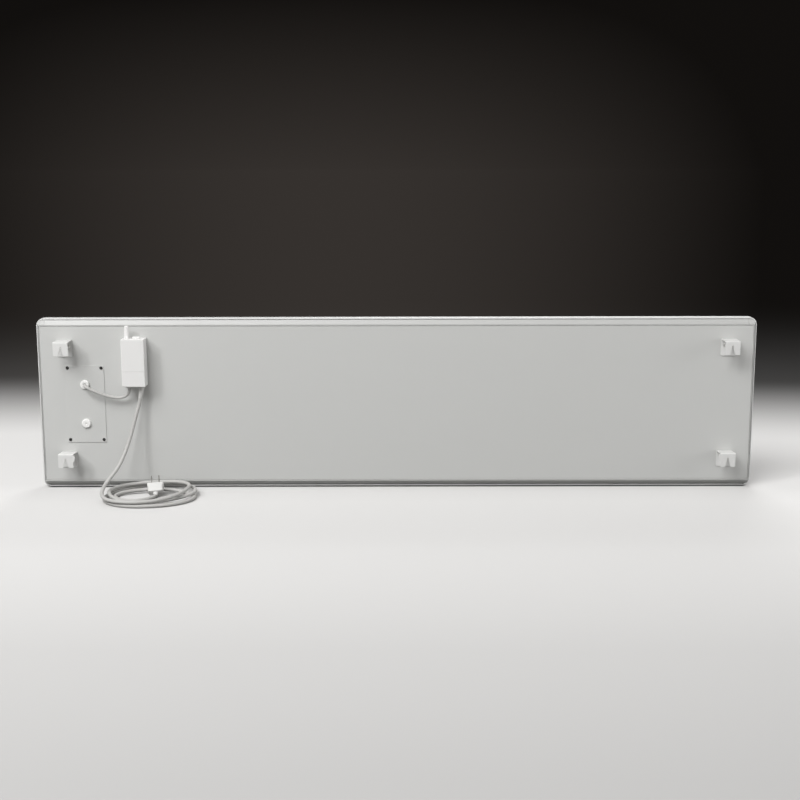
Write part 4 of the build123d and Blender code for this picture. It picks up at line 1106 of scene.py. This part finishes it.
# %% Strain relief as a swept circle
RELIEF_STEPS, RELIEF_SIDES = 91, 32
RING_GAIN, RING_CUT = 3.0, -1.5  # only the top of each wave becomes a ring


def build_ringed_sleeve():
    tree, enter, leave = shape_tree(
        "ringed_sleeve",
        [("Start", "NodeSocketVector"), ("End", "NodeSocketVector"),
         ("Root Radius", "NodeSocketFloat"), ("Tip Radius", "NodeSocketFloat"),
         ("Ring Depth", "NodeSocketFloat"), ("Rings", "NodeSocketFloat"),
         ("Material", "NodeSocketMaterial")],
    )
    size = enter.outputs
    line = tree.nodes.new("GeometryNodeCurvePrimitiveLine")
    steps = tree.nodes.new("GeometryNodeResampleCurve")
    feed(steps, Count=RELIEF_STEPS)
    along = tree.nodes.new("GeometryNodeSplineParameter").outputs["Factor"]
    taper = maths(tree, "SUBTRACT", size["Tip Radius"], size["Root Radius"])
    radius = maths(tree, "MULTIPLY_ADD", along, taper, size["Root Radius"])
    wave = maths(tree, "MULTIPLY", along, size["Rings"])
    wave = maths(tree, "SINE", maths(tree, "MULTIPLY", wave, 2 * math.pi))
    # Only the troughs count, so that the sleeve is plain between its rings.
    trough = maths(tree, "MULTIPLY_ADD", wave, RING_GAIN, RING_CUT, clamp=True)
    radius = maths(
        tree, "SUBTRACT", radius, maths(tree, "MULTIPLY", trough, size["Ring Depth"])
    )
    circle = tree.nodes.new("GeometryNodeCurvePrimitiveCircle")
    feed(circle, Resolution=RELIEF_SIDES, Radius=1.0)
    sweep = tree.nodes.new("GeometryNodeCurveToMesh")
    sweep.inputs["Fill Caps"].default_value = True
    wire(
        tree, (size["Start"], line.inputs["Start"]), (size["End"], line.inputs["End"]),
        (line.outputs[0], steps.inputs["Curve"]), (steps.outputs[0], sweep.inputs["Curve"]),
        (circle.outputs["Curve"], sweep.inputs["Profile Curve"]),
        (radius, sweep.inputs["Scale"]),
    )
    finish_tree(tree, leave, sweep.outputs["Mesh"], size["Material"])
    return tree


RELIEF_TOP = (-441.6, -7.5, 184.3)
sleeve = grown(
    "ringed_relief", point_cloud("sleeve_place", [RELIEF_TOP]), build_ringed_sleeve(),
    Start=[MM * value for value in RELIEF_TOP],
    End=[MM * value for value in RELIEF_EXIT],
    Root_Radius=0.0048, Tip_Radius=0.0037, Ring_Depth=0.0003, Rings=6.0,
    Material=finishes["gland_plastic"],
)
belongs(sleeve, "gland_plastic", "strain_relief")
print("strain relief faces", len(sleeve.data.polygons))

# %% [markdown]
# ## The plug
#
# The plug is one moulding round the end of the cord: a short neck, a body that
# widens towards the blades, a grip ribbed on both sides, and a firm front edge.
# Its sections are rounded rectangles that change along its axis, so it is lofted
# through them. The plug lies tipped up on the coil, so all of it is built along
# its own axis and set in place through one matrix.

# %% Where the plug lies
PLUG_BACK = Vector((-414.0, -65.0, 8.0)) * MM
PLUG_TILT, PLUG_YAW, PLUG_ROLL = (math.radians(a) for a in (42.0, 10.0, 4.0))
plug_axis = Vector((
    -math.cos(PLUG_TILT) * math.sin(PLUG_YAW),
    math.cos(PLUG_TILT) * math.cos(PLUG_YAW), math.sin(PLUG_TILT),
))
level_side = Vector((math.cos(PLUG_YAW), math.sin(PLUG_YAW), 0.0))
plug_side = (
    level_side * math.cos(PLUG_ROLL) + level_side.cross(plug_axis) * math.sin(PLUG_ROLL)
)
plug_place = Matrix.Translation(PLUG_BACK) @ Matrix(
    (plug_side, plug_axis.cross(plug_side), plug_axis)
).transposed().to_4x4()


# %% Helper: loft through rounded rectangles
CORNER_STEPS = 6


def rounded_section(width, height, corner, distance):
    """Points of a rounded rectangle, all the same number, at one distance."""
    points = []
    corner = min(corner, width / 2, height / 2)
    for quarter, (sx, sy) in enumerate(((1, 1), (-1, 1), (-1, -1), (1, -1))):
        for step in range(CORNER_STEPS + 1):
            turn = (quarter + step / CORNER_STEPS) * math.pi / 2
            points.append((
                MM * (sx * (width / 2 - corner) + corner * math.cos(turn)),
                MM * (sy * (height / 2 - corner) + corner * math.sin(turn)),
                MM * distance,
            ))
    return points


def lofted(name, stations, place):
    """A closed skin through (distance, width, height, corner) stations."""
    rings = [rounded_section(w, h, c, d) for d, w, h, c in stations]
    count = len(rings[0])
    faces = [tuple(range(count))[::-1]]
    for ring in range(len(rings) - 1):
        low, high = ring * count, (ring + 1) * count
        for i in range(count):
            j = (i + 1) % count
            faces.append((low + i, low + j, high + j, high + i))
    faces.append(tuple(range((len(rings) - 1) * count, len(rings) * count)))
    mesh = bpy.data.meshes.new(name)
    mesh.from_pydata([place @ Vector(p) for ring in rings for p in ring], [], faces)
    return placed(name, mesh)


# %% The plug's body
PLUG_LENGTH, GRIP_START, GRIP_END = 17.0, 4.0, 11.5
GRIP_RIBS, GRIP_DEPTH, PLUG_STEPS, PLUG_CORNER = 4, 0.7, 30, 3.0
REAR_WIDTH, REAR_HEIGHT, MORE_WIDTH, MORE_HEIGHT = 25.0, 13.5, 3.5, 1.5


def plug_stations():
    neck = [(-6.0, 7.2, 7.2, 3.6), (-5.4, 8.2, 8.2, 4.1), (-1.0, 9.4, 9.2, 4.6),
            (-0.3, 11.0, 10.2, 4.4), (0.0, 22.5, 11.5, 3.0)]
    body = [(0.5, 24.4, 13.1, 3.0)]
    for step in range(1, PLUG_STEPS):
        distance = 0.9 + step * (PLUG_LENGTH - 2.1) / PLUG_STEPS
        share = distance / PLUG_LENGTH
        width = REAR_WIDTH + MORE_WIDTH * share
        height = REAR_HEIGHT + MORE_HEIGHT * share
        if GRIP_START < distance < GRIP_END:
            phase = (distance - GRIP_START) / (GRIP_END - GRIP_START) * GRIP_RIBS
            width -= GRIP_DEPTH * (1.0 - math.cos(2 * math.pi * phase))
        body.append((distance, width, height, PLUG_CORNER))
    front = [(16.0, 28.3, 14.9, 3.0), (16.6, 28.1, 14.7, 2.9), (17.0, 27.3, 13.9, 2.6)]
    return neck + body + front


plug_moulding = lofted("plug_moulding", plug_stations(), plug_place)
belongs(plug_moulding, "plug_plastic", "plug_body")
print("plug faces", len(plug_moulding.data.polygons))

# %% [markdown]
# ## The two blades
#
# Flat blades are stamped: an outline with cut corners and a round hole near the
# tip. A filled flat curve makes exactly that. The curve's extrusion gives the
# thickness and its bevel takes the sharpness off, then it becomes a mesh and is
# set on edge in front of the plug.

# %% Blades
BLADE_WIDTH, BLADE_SHEET, BLADE_LENGTH, BLADE_PITCH = 6.3, 1.5, 17.5, 12.7
BLADE_ROOT, HOLE_FROM_TIP, HOLE_RADIUS, BLADE_EDGE = 4.0, 4.0, 1.6, 0.15
BLADE_CUT, HOLE_SIDES = 1.2, 20


def stamped_blade():
    """One blade in its own plane: x along it from the plug's front, y across."""
    curve = bpy.data.curves.new("blade_outline", "CURVE")
    curve.dimensions, curve.fill_mode = "2D", "BOTH"
    half, cut = BLADE_WIDTH / 2 - BLADE_EDGE, BLADE_CUT
    tip, bore = BLADE_LENGTH - BLADE_EDGE, HOLE_RADIUS + BLADE_EDGE
    centre = BLADE_LENGTH - HOLE_FROM_TIP
    outline = [(-BLADE_ROOT, -half), (tip - cut, -half), (tip, -half + cut),
               (tip, half - cut), (tip - cut, half), (-BLADE_ROOT, half)]
    turns = [step * 2 * math.pi / HOLE_SIDES for step in range(HOLE_SIDES)]
    hole = [(centre + bore * math.cos(turn), bore * math.sin(turn)) for turn in turns]
    for path in (outline, hole):
        spline = curve.splines.new("POLY")
        spline.points.add(len(path) - 1)
        for point, (x, y) in zip(spline.points, path):
            point.co = (MM * x, MM * y, 0.0, 1.0)
        spline.use_cyclic_u = True
    curve.extrude = MM * (BLADE_SHEET / 2 - BLADE_EDGE)
    curve.bevel_depth = MM * BLADE_EDGE
    curve.bevel_resolution = 1
    holder = bpy.data.objects.new("blade_outline", curve)
    mesh = bpy.data.meshes.new_from_object(holder)
    bpy.data.objects.remove(holder)
    return mesh


def both_blades():
    stamped = stamped_blade()
    # Its length runs along the plug's axis, its width across the blade.
    upright = Matrix(((0, 0, 1), (0, 1, 0), (1, 0, 0))).to_4x4()
    shape = bmesh.new()
    for side in (-1, 1):
        one = bmesh.new()
        one.from_mesh(stamped)
        shift = Matrix.Translation((MM * side * BLADE_PITCH / 2, 0.0, MM * PLUG_LENGTH))
        one.transform(plug_place @ shift @ upright)
        loose = bpy.data.meshes.new("one_blade")
        one.to_mesh(loose)
        one.free()
        shape.from_mesh(loose)
        bpy.data.meshes.remove(loose)
    mesh = bpy.data.meshes.new("stamped_blades")
    shape.to_mesh(mesh)
    shape.free()
    bpy.data.meshes.remove(stamped)
    return placed("stamped_blades", mesh)


blades = both_blades()
belongs(blades, "blade_metal", "plug_blades")
print("blades faces", len(blades.data.polygons))

# %% [markdown]
# ## Rounded sheet edges
#
# Bent sheet is never sharp: the coat rounds its edges. The solid hooks have the
# true bends and cuts, so each is copied, its triangles are joined into whole
# faces, and a Bevel modifier takes the edges off by a quarter of a millimetre.

# %% Soft-edged copies of the hooks
EDGE_ROUND = 0.00025


def soft_edged(name, solid_name):
    solid = nodes[solid_name]
    shape = bmesh.new()
    shape.from_mesh(solid.data)
    bmesh.ops.remove_doubles(shape, verts=shape.verts, dist=1e-6)
    bmesh.ops.dissolve_limit(
        shape, angle_limit=math.radians(1.0), verts=shape.verts, edges=shape.edges
    )
    mesh = bpy.data.meshes.new(name)
    shape.to_mesh(mesh)
    shape.free()
    copy = add_object(name + "_copy", mesh)
    bevel = copy.modifiers.new("round", "BEVEL")
    bevel.width, bevel.segments = EDGE_ROUND, 2
    bevel.limit_method, bevel.angle_limit = "ANGLE", math.radians(40)
    rounded = bpy.data.meshes.new_from_object(
        copy.evaluated_get(bpy.context.evaluated_depsgraph_get())
    )
    copy.modifiers.clear()
    bpy.data.objects.remove(copy)
    # A low angle keeps the flat faces flat and only the bends smooth.
    return placed(name, rounded, crease=16)


for level in HOOK_TOPS:
    for side in ("left", "right"):
        solid_name = f"{level}_{side}_hook"
        hook = soft_edged(f"{level}_{side}_bent_hook", solid_name)
        hook.data.materials.clear()
        belongs(hook, "hook_coat", solid_name)
print("hooks with rounded edges")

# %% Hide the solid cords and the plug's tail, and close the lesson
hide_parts("mains_cord", "mains_coil", "plug_tail")
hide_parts("link_cable")

bpy.context.scene.view_settings.view_transform = "Standard"
